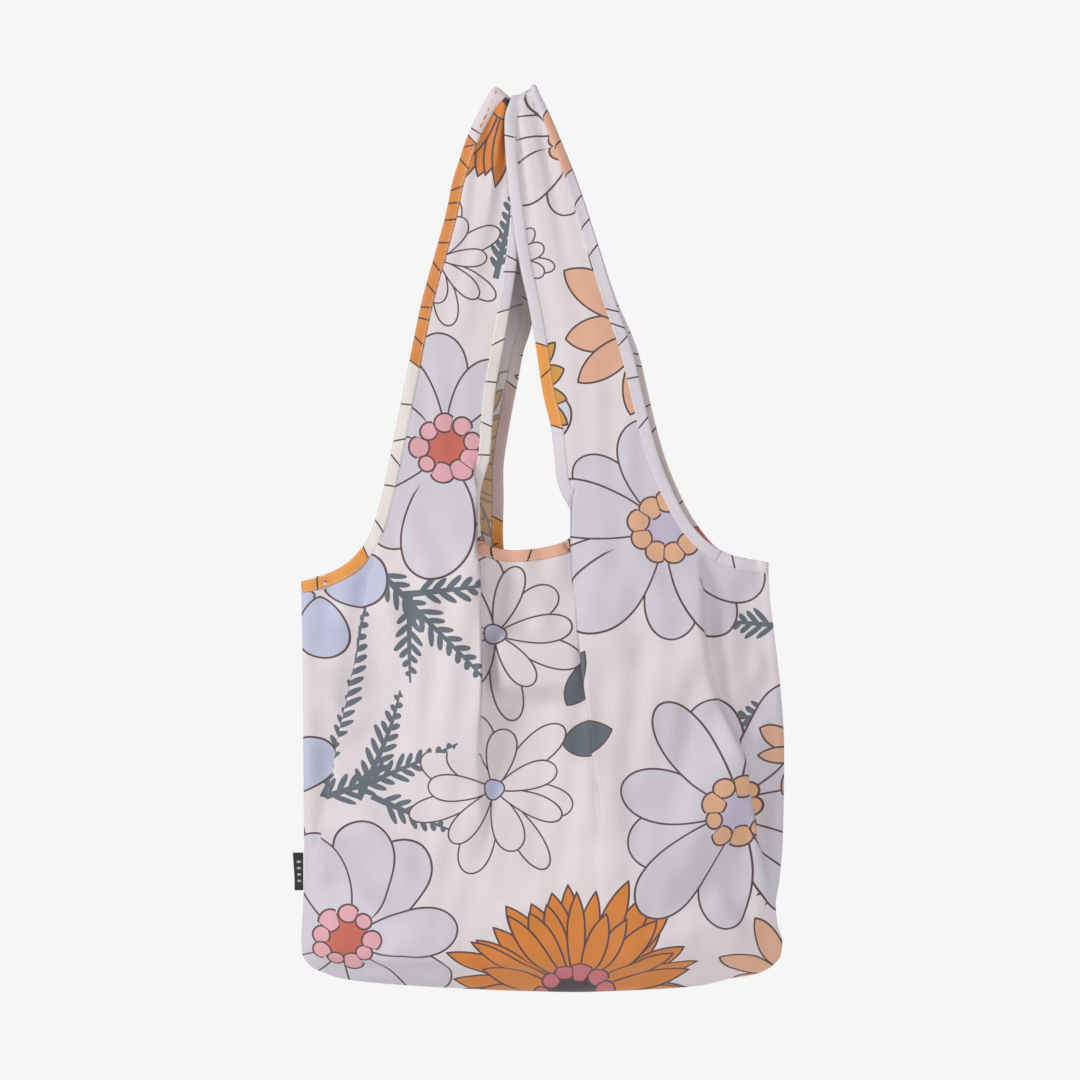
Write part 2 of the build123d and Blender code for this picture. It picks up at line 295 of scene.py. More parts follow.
def ripple(x, z, seed, scale):
    """Smooth random unevenness, about 1 in size, made of a few long waves."""
    r = np.random.default_rng(seed)
    total = np.zeros_like(x)
    for _ in range(9):
        angle = r.uniform(0, math.pi)
        k = TURN / (scale * r.uniform(0.6, 1.6))
        total += np.sin(k * (x * math.cos(angle) + z * math.sin(angle)) + r.uniform(0, 6.3))
    return total / 3.0


def drapes(x, z, seed, scale):
    """Unevenness that runs mostly up and down, as in hanging cloth."""
    r = np.random.default_rng(seed)
    total = np.zeros_like(x)
    for _ in range(7):
        k = TURN / (scale * r.uniform(0.7, 1.7))
        lean, sway = r.uniform(-0.16, 0.16), r.uniform(4, 9)
        bend = sway * np.sin(z / r.uniform(40, 110) + r.uniform(0, 6.3))
        strength = 0.5 + 0.5 * np.sin(z / r.uniform(50, 120) + r.uniform(0, 6.3))
        total += strength * np.sin(k * (x + lean * z + bend) + r.uniform(0, 6.3))
    return total / 2.6


def fold(x, y, z, folds, px):
    """Moves cloth sideways under each fold and steps it in depth."""
    for f in folds:
        t = px - f["x"](z)
        near = smooth((t / f["near"] + 1) / 2) - 0.5
        wide = smooth((t / f["wide"] + 1) / 2) - 0.5
        x = x + 2 * f["h"](z) * (wide - near)
        fade = np.exp(-((t / (f["wide"] * 0.75)) ** 2))
        y = y - f["top"] * f["d"](z) * 2 * near * fade
    return x, y


CLOTH_SEED = {"front": 3, "back": 8}
LEG_DEPTH = {  # how far a leg hangs from the middle plane, against height
    "left": curve((370, 12), (560, 9.5), (737, 6.4)),
    "right": curve((370, 12.8), (560, 12.4), (737, 9.6)),
}
GATHER = {"left": (1.3, 0.6), "right": (1.7, 2.1)}  # depth and phase of the gathers
CREST_RISE = {"left": 5.6, "right": 8.4}  # the right handle's loop goes over the left one's


def panel_points(face, a, z0):
    """A panel's cloth at a share a of its width and a height z0, folded, and its print's x."""
    left, right = SEAM_X["left"](z0), SEAM_X["right"](z0)
    x = left + (right - left) * a
    z = z0 + SAG(x) * np.clip(1 - z0 / 62, 0, 1) ** 2
    from_rim = 1 - abs(2 * a - 1)
    y = -BELLY(z0) * np.clip(1 - abs(2 * a - 1) ** 2.7, 0, 1) ** 0.78
    # the columns under the straps are taut, and the cloth beside them is slack
    for strap_x, out in ((-88, -1), (80, 1)):
        centre = strap_x + out * np.clip((384 - z0) / 384, 0, 1) * 62
        high = smooth((z0 - 40) / 150) * smooth((420 - z0) / 80)
        y -= 4.5 * high * np.exp(-(((x - centre) / 40) ** 2))
    if face == "front":
        y += 8.0 * smooth((z0 - 150) / 190) * np.exp(-(((x + 8) / 30) ** 2)) * smooth((420 - z0) / 50)
    wing = np.exp(-(((abs(x - 3) - 178) / 18) ** 2))
    y += 4.0 * smooth((z0 - 120) / 160) * wing * smooth(from_rim / 0.05)
    seed = CLOTH_SEED[face]
    inside = smooth(from_rim / 0.12) * smooth(z0 / 40)
    y += (1.8 * ripple(x, z, seed, 95) + 0.7 * ripple(x, z, seed + 20, 34)) * inside
    y += 1.5 * drapes(x, z, seed + 60, 24) * inside * smooth((z0 - 20) / 120)
    # small puckers where the bottom seam draws the cloth in
    low = np.exp(-z / 22.0) * smooth(z0 / 6)
    y += 2.0 * low * np.sin(x / 6.5 + 1.7 * np.sin(x / 23.0 + seed)) * smooth(from_rim / 0.1)
    px, to_seam = x, np.minimum(a, 1 - a) * (right - left)
    if face == "back":
        bulge = 3.6 * np.sin(np.clip(to_seam / 26, 0, 1) * math.pi) * smooth(z0 / 30)
        x = x + np.where(a < 0.5, -bulge, bulge)
    # the folds fade out at the side seams, where both panels meet
    folded_x, folded_y = fold(x, y, z0, FRONT_FOLDS if face == "front" else BACK_FOLDS, px)
    rim = smooth(to_seam / 18)
    return x + (folded_x - x) * rim, y + (folded_y - y) * rim, z, px


def strap_points(face, side, px, pz, z0):
    """Where the same cloth lies in a handle: narrowing legs whose gathers deepen towards the crest."""
    edge_z = np.minimum(pz[:, :1], STRAP_TOP)
    outer, inner = STRAP[side, face, "outer"](edge_z), STRAP[side, face, "inner"](edge_z)
    across = np.clip((px - inner) / (outer - inner), -0.1, 1.1)
    bow = 1 - (2 * across - 1) ** 2
    y = -LEG_DEPTH[side](z0) - 2.6 * bow * smooth((z0 - 380) / 60) * smooth((760 - z0) / 240)
    gather = smooth((pz[:, :1] - 470) / 240)
    depth, phase = GATHER[side]
    phase += 0 if face == "front" else 1.4
    wander = 0.9 * np.sin(z0 / 47 + phase) + 0.004 * (z0 - 500)
    y += depth * gather * np.cos(TURN * 2.7 * across + phase + wander)
    y += 0.5 * depth * gather**3 * np.cos(TURN * 5.3 * across + 2 * phase - 0.02 * (z0 - 700))
    seed = CLOTH_SEED[face]
    y += 0.8 * ripple(px, pz, seed + 40, 55) * smooth((z0 - 400) / 50) * (1 - 0.6 * gather)
    y += 0.9 * drapes(px, pz, seed + 70, 22) * smooth((z0 - 380) / 60) * (1 - 0.8 * gather)
    return fold(px, y, z0, STRAP_FOLDS.get((side, face), ()), px)


def lattice(face, side):
    """Points of a panel and one of its straps by row and column, and their print coordinates."""
    arc = np.linspace(0, CREST_RUN[side], ARC_ROWS)[1:]
    v = np.concatenate([ROWS, CREST_Z + arc])
    z0 = np.minimum(v, CREST_Z)[:, None]
    x, y, z, px = panel_points(face, COLS[None, :], z0)
    pz = np.repeat(v[:, None], len(COLS), 1)
    xs, ys = strap_points(face, side, px, pz, z0)
    t = smooth((z0 - 352) / 74)
    x, y = x * (1 - t) + xs * t, y * (1 - t) + ys * t
    if face == "front":
        x, y = fold(x, y, z0, NECK_FOLDS, px)
    # over the crest the leg's depth closes on the middle plane
    over = np.clip((v - CREST_Z) / CREST_RUN[side], 0, 1)[:, None] * math.pi / 2
    y = y * np.cos(over)
    dip = 8.0 * np.clip(abs(px + 20) / 14, 0, 1.15) ** 1.6
    z = z + CREST_RISE[side] * np.sin(over) + (dip - 6.5) * smooth((v[:, None] - 700) / 44)
    if face == "back":
        y = -y
    return np.stack([x, y, z], -1), np.stack([px, pz], -1)


def normals_of(points):
    """Unit normals of a grid of points."""
    du = np.gradient(points, axis=1)
    dv = np.gradient(points, axis=0)
    n = np.cross(du, dv)
    return n / np.maximum(np.linalg.norm(n, axis=-1, keepdims=True), 1e-9)


class Cloth:
    """One panel with one strap: its lattice, print coordinates and normals, and places read between points.

    Side "both" is the whole panel: each half comes from the lattice of its own handle.
    """

    def __init__(self, face, side, panel=None):
        self.face, self.side = face, side
        if side == "both":
            left, self.print = lattice(face, "left")
            right, _ = lattice(face, "right")
            share = smooth((self.print[..., :1] + 40) / 64)
            self.points = left * (1 - share) + right * share
        else:
            self.points, self.print = lattice(face, side)
            self.points[: SPLIT_ROW + 1] = panel.points[: SPLIT_ROW + 1]
        self.v = self.print[:, 0, 1]
        self.refresh()

    def refresh(self):
        """Works the outward normals out again after the points have moved."""
        n = normals_of(self.points)
        self.normals = n if self.face == "front" else -n

    def read(self, table, p):
        """A table's value at print coordinates, between its rows and columns."""
        row = np.interp(p[:, 1], self.v, np.arange(len(self.v)))
        z0 = np.minimum(p[:, 1], CREST_Z)
        left, right = SEAM_X["left"](z0), SEAM_X["right"](z0)
        col = (p[:, 0] - left) / (right - left) * (len(COLS) - 1)
        row = np.clip(row, 0, table.shape[0] - 1.001)
        col = np.clip(col, 0, table.shape[1] - 1.001)
        i, j = row.astype(int), col.astype(int)
        fi, fj = (row - i)[:, None], (col - j)[:, None]
        low = table[i, j] * (1 - fj) + table[i, j + 1] * fj
        high = table[i + 1, j] * (1 - fj) + table[i + 1, j + 1] * fj
        return low * (1 - fi) + high * fi

    def place(self, p, lift=0.0):
        """Points above (or under, with a negative lift) the cloth at print coordinates."""
        n = self.read(self.normals, p)
        n /= np.maximum(np.linalg.norm(n, axis=1, keepdims=True), 1e-9)
        return self.read(self.points, p) + n * np.asarray(lift).reshape(-1, 1)


# ---------------------------------------------------------------- cloth simulation
SIM_ROWS, SIM_COLS = 4, 3  # the simulated net keeps every fourth row and every third column
SIM_SCALE = 10.0  # simulated larger than life, where the solver keeps its accuracy
SIM_FRAMES = 45
SLACK = 0.055  # spare cloth between the seams, as a share of its length
SETTLE_LIMIT = 9.0  # no point settles further than this, mm


def grid_quads(rows_n, cols_n, closed=False):
    """Faces between a grid's rows and columns; closed joins the last column to the first."""
    i, j = np.meshgrid(np.arange(rows_n - 1), np.arange(cols_n if closed else cols_n - 1), indexing="ij")
    i, j = i.ravel(), j.ravel()
    k = (j + 1) % cols_n
    return np.stack([i * cols_n + j, i * cols_n + k, (i + 1) * cols_n + k, (i + 1) * cols_n + j], 1)


def held(p):
    """How firmly seams, straps and bottom hold the cloth, from 0 to 1, and the same with its taut columns."""
    x, z = p[..., 0], p[..., 1]
    to_seam = np.minimum(x - SEAM_X["left"](z), SEAM_X["right"](z) - x)
    under_edge = 322 - 42 * smooth((abs(x) - 112) / 40)
    at_seam, at_bottom = 1 - smooth((to_seam - 3) / 20), 1 - smooth((z - 6) / 24)
    fixed = np.maximum.reduce([at_seam, smooth((z - under_edge) / 34), at_bottom])
    taut = 0.3 * np.exp(-(((abs(x) - 88) / 30) ** 2)) * smooth((z - 60) / 220)
    return fixed, np.clip(np.maximum(fixed, taut + 0.03), 0, 1)


def spread(table, rows_at, cols_at, rows_n, cols_n):
    """A coarse table read at every row and column, then smoothed."""
    full = np.stack([np.interp(np.arange(rows_n), rows_at, table[:, j]) for j in range(table.shape[1])], 1)
    full = np.stack([np.interp(np.arange(cols_n), cols_at, full[i]) for i in range(rows_n)], 0)
    for _ in range(7):
        full[1:-1] = (full[:-2] + 2 * full[1:-1] + full[2:]) / 4
        full[:, 1:-1] = (full[:, :-2] + 2 * full[:, 1:-1] + full[:, 2:]) / 4
    return full


def hang(panels):
    """Lets the panels hang as cloth with a little slack, and keeps the shape they settle in."""
    rows_at = np.append(np.arange(0, SPLIT_ROW, SIM_ROWS), SPLIT_ROW)
    cols_at = np.append(np.arange(0, len(COLS) - 1, SIM_COLS), len(COLS) - 1)
    pick = np.ix_(rows_at, cols_at)
    start = np.stack([c.points[pick] for c in panels])
    grid = grid_quads(len(rows_at), len(cols_at))
    size = len(rows_at) * len(cols_at)
    mesh = bpy.data.meshes.new("net")
    both = np.concatenate([grid, grid + size])
    mesh.from_pydata((start.reshape(-1, 3) * MM * SIM_SCALE).tolist(), [], both.tolist())
    net = bpy.data.objects.new("net", mesh)
    bpy.context.collection.objects.link(net)
    group = net.vertex_groups.new(name="held")
    weights = np.concatenate([held(c.print[pick])[1].ravel() for c in panels])
    for i, weight in enumerate(weights):
        group.add([i], float(weight), "REPLACE")
    modifier = net.modifiers.new("hang", "CLOTH")
    settings = modifier.settings
    settings.quality = 7
    settings.mass = 0.25
    settings.air_damping = 3.0
    settings.tension_stiffness = settings.compression_stiffness = 18
    settings.shear_stiffness = 6
    settings.bending_stiffness = 0.35
    settings.vertex_group_mass = "held"
    settings.shrink_min = -SLACK
    modifier.collision_settings.use_collision = False
    modifier.point_cache.frame_start, modifier.point_cache.frame_end = 1, SIM_FRAMES
    scene = bpy.context.scene
    before = scene.frame_current
    for now in range(1, SIM_FRAMES + 1):
        scene.frame_set(now)
    settled = net.evaluated_get(bpy.context.evaluated_depsgraph_get()).data
    end = np.zeros(len(settled.vertices) * 3)
    settled.vertices.foreach_get("co", end)
    moved = end.reshape(start.shape) / (MM * SIM_SCALE) - start
    bpy.data.objects.remove(net, do_unlink=True)
    bpy.data.meshes.remove(mesh)
    scene.frame_set(before)
    far = np.linalg.norm(moved, axis=-1, keepdims=True)
    moved *= SETTLE_LIMIT * np.tanh(far / SETTLE_LIMIT) / np.maximum(far, 1e-6)
    for panel, move in zip(panels, moved):
        fixed, _ = held(panel.print[: SPLIT_ROW + 1])
        for axis in range(3):
            full = spread(move[..., axis], rows_at, cols_at, SPLIT_ROW + 1, len(COLS))
            panel.points[: SPLIT_ROW + 1, :, axis] += full * (1 - fixed)
        panel.refresh()


POUCH_X, POUCH_HANG_Z = 4.0, 352.0  # where the pouch hangs
POUCH_Y, POUCH_LEAN = 17.6, 0.072  # how far back it reaches there, and how much further for each mm below
FLAP_Y = -29.8  # the lifted flap's furthest point


def clear_of_pouch(front, back):
    """Keeps both panels outside the reach of the pouch and its lifted flap."""
    x, z = abs(back.print[..., 0] - POUCH_X), back.print[..., 1]
    near = smooth((84 - x) / 24) * smooth((z - 150) / 20) * smooth((366 - z) / 12)
    reach = POUCH_Y + POUCH_LEAN * np.maximum(POUCH_HANG_Z - z, 0)
    back.points[..., 1] += near * np.maximum(reach - back.points[..., 1], 0)
    near = smooth((46 - x) / 14) * smooth((z - 240) / 22) * smooth((306 - z) / 18)
    front.points[..., 1] -= near * np.maximum(front.points[..., 1] - FLAP_Y, 0)
    for panel in (front, back):
        panel.refresh()


cloths = {}
for _face in ("front", "back"):
    cloths[_face, "both"] = Cloth(_face, "both")
hang([cloths["front", "both"], cloths["back", "both"]])
clear_of_pouch(cloths["front", "both"], cloths["back", "both"])
for _face in ("front", "back"):
    for _side in ("left", "right"):
        cloths[_face, _side] = Cloth(_face, _side, cloths[_face, "both"])


# ---------------------------------------------------------------- the print's shapes
def srgb(r, g, b):
    """A colour given as it looks, 0 to 255, turned into the linear numbers that materials take."""
    out = []
    for c in (r, g, b):
        c = c / 255
        out.append(c / 12.92 if c <= 0.04045 else ((c + 0.055) / 1.055) ** 2.4)
    return tuple(out)


CREAM = srgb(236, 226, 228)
LAVENDER = srgb(218, 213, 222)
WHITE = srgb(233, 224, 227)
PERIWINKLE = srgb(200, 204, 229)
LILAC = srgb(202, 191, 214)
PEACH = srgb(236, 181, 150)
APRICOT = srgb(235, 180, 140)
PINK = srgb(236, 172, 180)
RUST = srgb(208, 100, 80)
ROSE = srgb(211, 115, 122)
ORANGE = srgb(226, 132, 36)
MUSTARD = srgb(216, 160, 66)
SLATE = srgb(92, 104, 114)
BARK = srgb(58, 44, 42)
PLUM = srgb(86, 58, 62)
INK = srgb(52, 42, 45)


def flower(x, z, petals, inner, outer, width, fill, turn=0.0, point=0.0, egg=0.25, jitter=0.35, line=0.8,
           disc=None, ring=0.0, bead=None, beads=0, bead_r=0.0):
    """One flower of the print: petals between two radii, a disc in the middle and a ring of beads round it.

    point is 0 for round petals and 1 for pointed ones, egg widens their tips, jitter turns them unevenly.
    """
    return dict(x=x, z=z, n=petals, c=(inner + outer) / 2, a=(outer - inner) / 2, b=width / 2, p=point,
                e=egg, turn=turn, jitter=jitter, line=line, seed=rng.uniform(1, 90), fill=fill,
                disc=disc or fill, ring=ring, bead=bead or fill, m=beads, bead_r=bead_r,
                reach=outer * 1.13 + 3)


def bead_daisy(x, z, reach, turn, fill, disc, bead, petals=9):
    """Broad petals round a disc with a ring of beads."""
    return [flower(x, z, petals, reach * 0.06, reach, reach * 4.68 / petals, fill, turn, point=0.1,
                   egg=0.36, jitter=0.5, disc=disc, ring=reach * 0.215, bead=bead, beads=9,
                   bead_r=reach * 0.08)]


def line_daisy(x, z, reach, turn, petals=8, disc=PERIWINKLE, fill=WHITE):
    """Two rings of narrow pale petals round a small disc."""
    under = flower(x, z, petals, reach * 0.05, reach, reach * 0.33, fill, turn + 0.35, egg=0.35, line=0.65)
    over = flower(x, z, petals, reach * 0.04, reach * 0.8, reach * 0.3, fill, turn, egg=0.4, line=0.65,
                  disc=disc, ring=reach * 0.12)
    return [under, over]


def bloom(x, z, reach, turn, fill, ring, core):
    """Two dense rings of long pointed petals round a beaded core."""
    outer = flower(x, z, 33, reach * 0.1, reach, reach * 0.16, fill, turn, point=1, egg=0.5, jitter=0.8)
    inner = flower(x, z, 25, reach * 0.05, reach * 0.84, reach * 0.15, fill, turn + 0.15, point=1, egg=0.5,
                   jitter=0.8, disc=core, ring=reach * 0.25, bead=ring, beads=11, bead_r=reach * 0.082)
    return [outer, inner]


def burst(x, z, reach, turn, fill, petals=11):
    """Pointed petals and nothing in the middle."""
    return [flower(x, z, petals, reach * 0.1, reach, reach * 0.34, fill, turn, point=0.85, egg=0.15,
                   jitter=0.4)]


def leaf(x, z, length, turn, fill=SLATE, width=0.6):
    """A single leaf round its middle."""
    start_x, start_z = x - math.cos(turn) * length / 2, z - math.sin(turn) * length / 2
    return [flower(start_x, start_z, 1, 0, length, length * width, fill, turn, point=1, egg=-0.15,
                   jitter=0.0, line=0.55)]


ANY_COLUMN = 9


def column(x, z):
    """-1 on the cloth under the left handle, 1 under the right, 0 between; ANY_COLUMN where no fold is."""
    left, right = NECK_FOLDS
    where = np.where(x < left["x"](z) + left["h"](z), -1, np.where(x > right["x"](z) - right["h"](z), 1, 0))
    parted = np.where(x < 0, left["h"](z), right["h"](z)) > 1.5
    return np.where(parted, where, ANY_COLUMN)


def on_strap(side, shapes):
    """The same shapes, only on one handle's cloth."""
    return [dict(f, strap=side) for f in shapes]


def kept(shapes, zone):
    """The same shapes, only on one column of the front's cloth, because folds hide what lies past them."""
    return [dict(f, zone=zone) for f in shapes]


def fern(x, z, length, turn, bend=0.0, spacing=9.5, leaflet=16.0, stem=1.7):
    """A stem with pairs of leaflets, from its foot."""
    return dict(x=x, z=z, turn=turn, length=length, bend=bend, spacing=spacing, leaflet=leaflet,
                stem=stem)


FRONT_FLOWERS = (
    [flower(-182, 330, 4, 4, 55, 42, PERIWINKLE, 0.25, point=0.5)],
    [flower(-210, 160, 2, 4, 54, 34, PERIWINKLE, 1.45, point=0.5)],
    bloom(29, -4, 104, 0.1, ORANGE, ROSE, BARK),
    kept(line_daisy(-33, 299, 62, 0.2, petals=6), 0),
    kept(line_daisy(-37, 176, 67, 0.45, petals=7), 0),
    kept(bead_daisy(103, 383, 99, 0.12, LAVENDER, LILAC, APRICOT, petals=11), 1),
    bead_daisy(160, 154, 100, 0.0, LAVENDER, LILAC, APRICOT, petals=11),
    kept(bead_daisy(-77, 448, 97, 0.31, LAVENDER, RUST, PINK, petals=10), -1),
    bead_daisy(-160, 45, 98, 0.16, LAVENDER, RUST, PINK, petals=10),
    leaf(30, 262, 44, 1.05, width=0.42),
    leaf(38, 217, 42, 0.3, width=0.62),
    burst(92, 548, 80, 0.4, PEACH),
    burst(206, 2, 62, 0.75, PEACH, petals=10),
    bloom(220, 112, 46, 0.2, ORANGE, ORANGE, BARK),
    burst(224, 196, 46, 0.5, PEACH, petals=9),
    on_strap("left", line_daisy(-84, 604, 52, 0.1, petals=7)),
    on_strap("left", bloom(-24, 750, 92, 0.2, ORANGE, ORANGE, BARK)),
    on_strap("right", bead_daisy(25, 702, 70, 0.3, WHITE, ORANGE, APRICOT, petals=10)),
    on_strap("right", line_daisy(-24, 602, 36, 0.5, petals=7, disc=LILAC)),
    on_strap("right", burst(-20, 497, 46, 0.3, MUSTARD, petals=13)),
)
FRONT_FERNS = kept([
    fern(-181, 163, 168, 1.25, bend=0.05),
    fern(-145, 166, 92, 1.14, bend=0.1),
    fern(-176, 161, 120, 0.42, bend=0.03),
    fern(-134, 167, 66, -0.4, bend=0.04),
    fern(-106, 330, 60, 0.1, bend=0.03),
    fern(-132, 349, 122, -0.76, bend=-0.06),
    fern(-106, 328, 68, -1.6, bend=0.03),
], -1) + [
    fern(200, 302, 48, 3.05, spacing=9),
    fern(200, 231, 44, 3.2, spacing=9),
    fern(-36, 590, 84, 1.35, spacing=8, leaflet=12),
]


def scattered(seed, x_low, x_high, z_high, shift):
    """A loose arrangement of the same shapes over a whole panel, with no two the same size or turn."""
    r = random.Random(seed)
    flowers, ferns = [], []
    for row, z in enumerate(np.arange(-10.0, z_high, 118.0)):
        x = x_low + (70 if row % 2 else 0) + r.uniform(-15, 15)
        while x < x_high:
            kind = r.choice(("bead", "bead", "pink", "line", "line", "bloom", "burst", "blue", "fern"))
            reach, turn = r.uniform(58, 88), r.uniform(0, 2)
            px, pz = x + shift + r.uniform(-14, 14), z + r.uniform(-14, 14)
            if kind == "bead":
                flowers.append(bead_daisy(px, pz, reach, turn, LAVENDER, LILAC, APRICOT))
            elif kind == "pink":
                flowers.append(bead_daisy(px, pz, reach, turn, LAVENDER, RUST, PINK))
            elif kind == "line":
                flowers.append(line_daisy(px, pz, reach * 0.8, turn))
            elif kind == "bloom":
                flowers.append(bloom(px, pz, reach, turn, r.choice((ORANGE, MUSTARD)), ROSE, BARK))
            elif kind == "burst":
                flowers.append(burst(px, pz, reach * 0.8, turn, PEACH))
            elif kind == "blue":
                flowers.append([flower(px, pz, 6, 4, reach * 0.8, reach * 0.5, PERIWINKLE, turn, point=0.5)])
            else:
                length = r.uniform(90, 130)
                ferns.append(fern(px - 50, pz - 20, length, turn * 0.7, bend=r.uniform(-0.1, 0.1)))
            x += r.uniform(135, 165)
    return flowers, ferns


BACK_SHIFT = 700.0  # the back's print lies this far along x, clear of the front's
BACK_FLOWERS, BACK_FERNS = scattered(5, -190, 230, 800, BACK_SHIFT)
BACK_BLOOM = bloom(BACK_SHIFT - 84, 440, 80, 0.4, MUSTARD, PINK, BARK)
BLOOM_X, BLOOM_Z = BACK_BLOOM[0]["x"], BACK_BLOOM[0]["z"]
BACK_FLOWERS = [g for g in BACK_FLOWERS if math.hypot(g[0]["x"] - BLOOM_X, g[0]["z"] - BLOOM_Z) > 105]
BACK_FLOWERS.insert(0, BACK_BLOOM)
FLOWER_LAYERS, FERN_LAYERS = 4, 3
CLOSEST = 0.72  # two shapes of one layer come no closer than this share of their reaches


def parted(f, g):
    """Whether two shapes lie on different pieces of cloth."""
    zones = f.get("zone", ANY_COLUMN), g.get("zone", ANY_COLUMN)
    straps = {f.get("strap"), g.get("strap")}
    return (ANY_COLUMN not in zones and zones[0] != zones[1]) or straps == {"left", "right"}


def layered(groups):
    """Puts each flower in the lowest layers where it touches no other, or else where it overlaps least."""
    placed = []
    for group in groups:
        best, room = 0, -1
        for low in range(FLOWER_LAYERS - len(group) + 1):
            gaps = [
                math.hypot(f["x"] - g["x"], f["z"] - g["z"]) / (f["reach"] + g["reach"])
                for k, f in enumerate(group)
                for g in placed
                if g["layer"] == low + k and not parted(f, g)
            ]
            gap = min(gaps + [1])
            if gap > room:
                best, room = low, gap
        if room > CLOSEST:
            placed += [dict(f, layer=best + k) for k, f in enumerate(group)]
    return placed


def near_fern(f, p):
    """Which print points a fern may cover."""
    dx, dz = p[:, 0] - f["x"], p[:, 1] - f["z"]
    c, s = math.cos(f["turn"]), math.sin(f["turn"])
    along, across = dx * c + dz * s, dz * c - dx * s
    across = across - f["bend"] * along**2 / f["length"]
    return (along > -4) & (along < f["length"] + 8) & (abs(across) < f["leaflet"] + 3)


def flower_rows(f):
    """A flower's numbers as its material reads them: attributes a to f of one layer."""
    return (
        (f["x"], f["z"], f["turn"], f["n"]),
        (f["c"], f["a"], f["b"], f["p"]),
        (f["e"], f["line"], f["seed"], f["jitter"]),
        (*f["fill"], f["m"]),
        (*f["disc"], f["ring"]),
        (*f["bead"], f["bead_r"]),
    )


def fern_rows(f):
    """A fern's numbers as its material reads them: attributes a and b of one layer."""
    return (
        (f["x"], f["z"], f["turn"], f["length"]),
        (f["spacing"], f["leaflet"], f["bend"], f["stem"]),
    )


def store(mesh, name, table):
    """Four numbers for each face, under a name."""
    layer = mesh.attributes.new(name, "FLOAT_COLOR", "FACE")
    layer.data.foreach_set("color", table.astype(np.float32).ravel())


def off_column(f, columns):
    """Which faces lie on another column of cloth than the one a shape is kept on."""
    own = f.get("zone", ANY_COLUMN)
    return (columns != own) & (columns != ANY_COLUMN) & (own != ANY_COLUMN)


def paint(mesh, centres, flowers, ferns):
    """Gives every face the numbers of the shapes that cover it, layer by layer, for the print's material."""
    columns = column(centres[:, 0], centres[:, 1])
    for k in range(FLOWER_LAYERS):
        tables = np.zeros((6, len(centres), 4))
        nearest = np.ones(len(centres))
        for f in flowers:
            if f["layer"] == k:
                away = np.hypot(centres[:, 0] - f["x"], centres[:, 1] - f["z"])
                share = np.where(off_column(f, columns), 2, away / (f["reach"] + CELL))
                tables[:, share < nearest] = np.array(flower_rows(f))[:, None, :]
                nearest = np.minimum(nearest, share)
        for letter, table in zip("abcdef", tables):
            store(mesh, f"flower{k}{letter}", table)
    free = np.zeros(len(centres), int)
    tables = np.zeros((FERN_LAYERS, 2, len(centres), 4))
    for f in ferns:
        near = near_fern(f, centres) & ~off_column(f, columns)
        for k in range(FERN_LAYERS):
            here = near & (free == k)
            tables[k][:, here] = np.array(fern_rows(f))[:, None, :]
        free[near] += 1
    for k in range(FERN_LAYERS):
        for letter, table in zip("ab", tables[k]):
            store(mesh, f"fern{k}{letter}", table)


PRINTS = {
    "front": (layered(FRONT_FLOWERS), FRONT_FERNS),
    "back": (layered(BACK_FLOWERS), BACK_FERNS),
}


# ---------------------------------------------------------------- material nodes
class Num:
    """A number in a material's node tree."""

    def __init__(self, graph, socket):
        self.graph, self.socket = graph, socket

    def __abs__(self):
        return self.graph.math("ABSOLUTE", self)

    def __lt__(self, other):
        return self.graph.math("LESS_THAN", self, other)

    def __gt__(self, other):
        return self.graph.math("GREATER_THAN", self, other)


for _sign, _name in (("add", "ADD"), ("sub", "SUBTRACT"), ("mul", "MULTIPLY"), ("truediv", "DIVIDE")):
    setattr(Num, f"__{_sign}__", lambda self, other, name=_name: self.graph.math(name, self, other))
    setattr(Num, f"__r{_sign}__", lambda self, other, name=_name: self.graph.math(name, other, self))


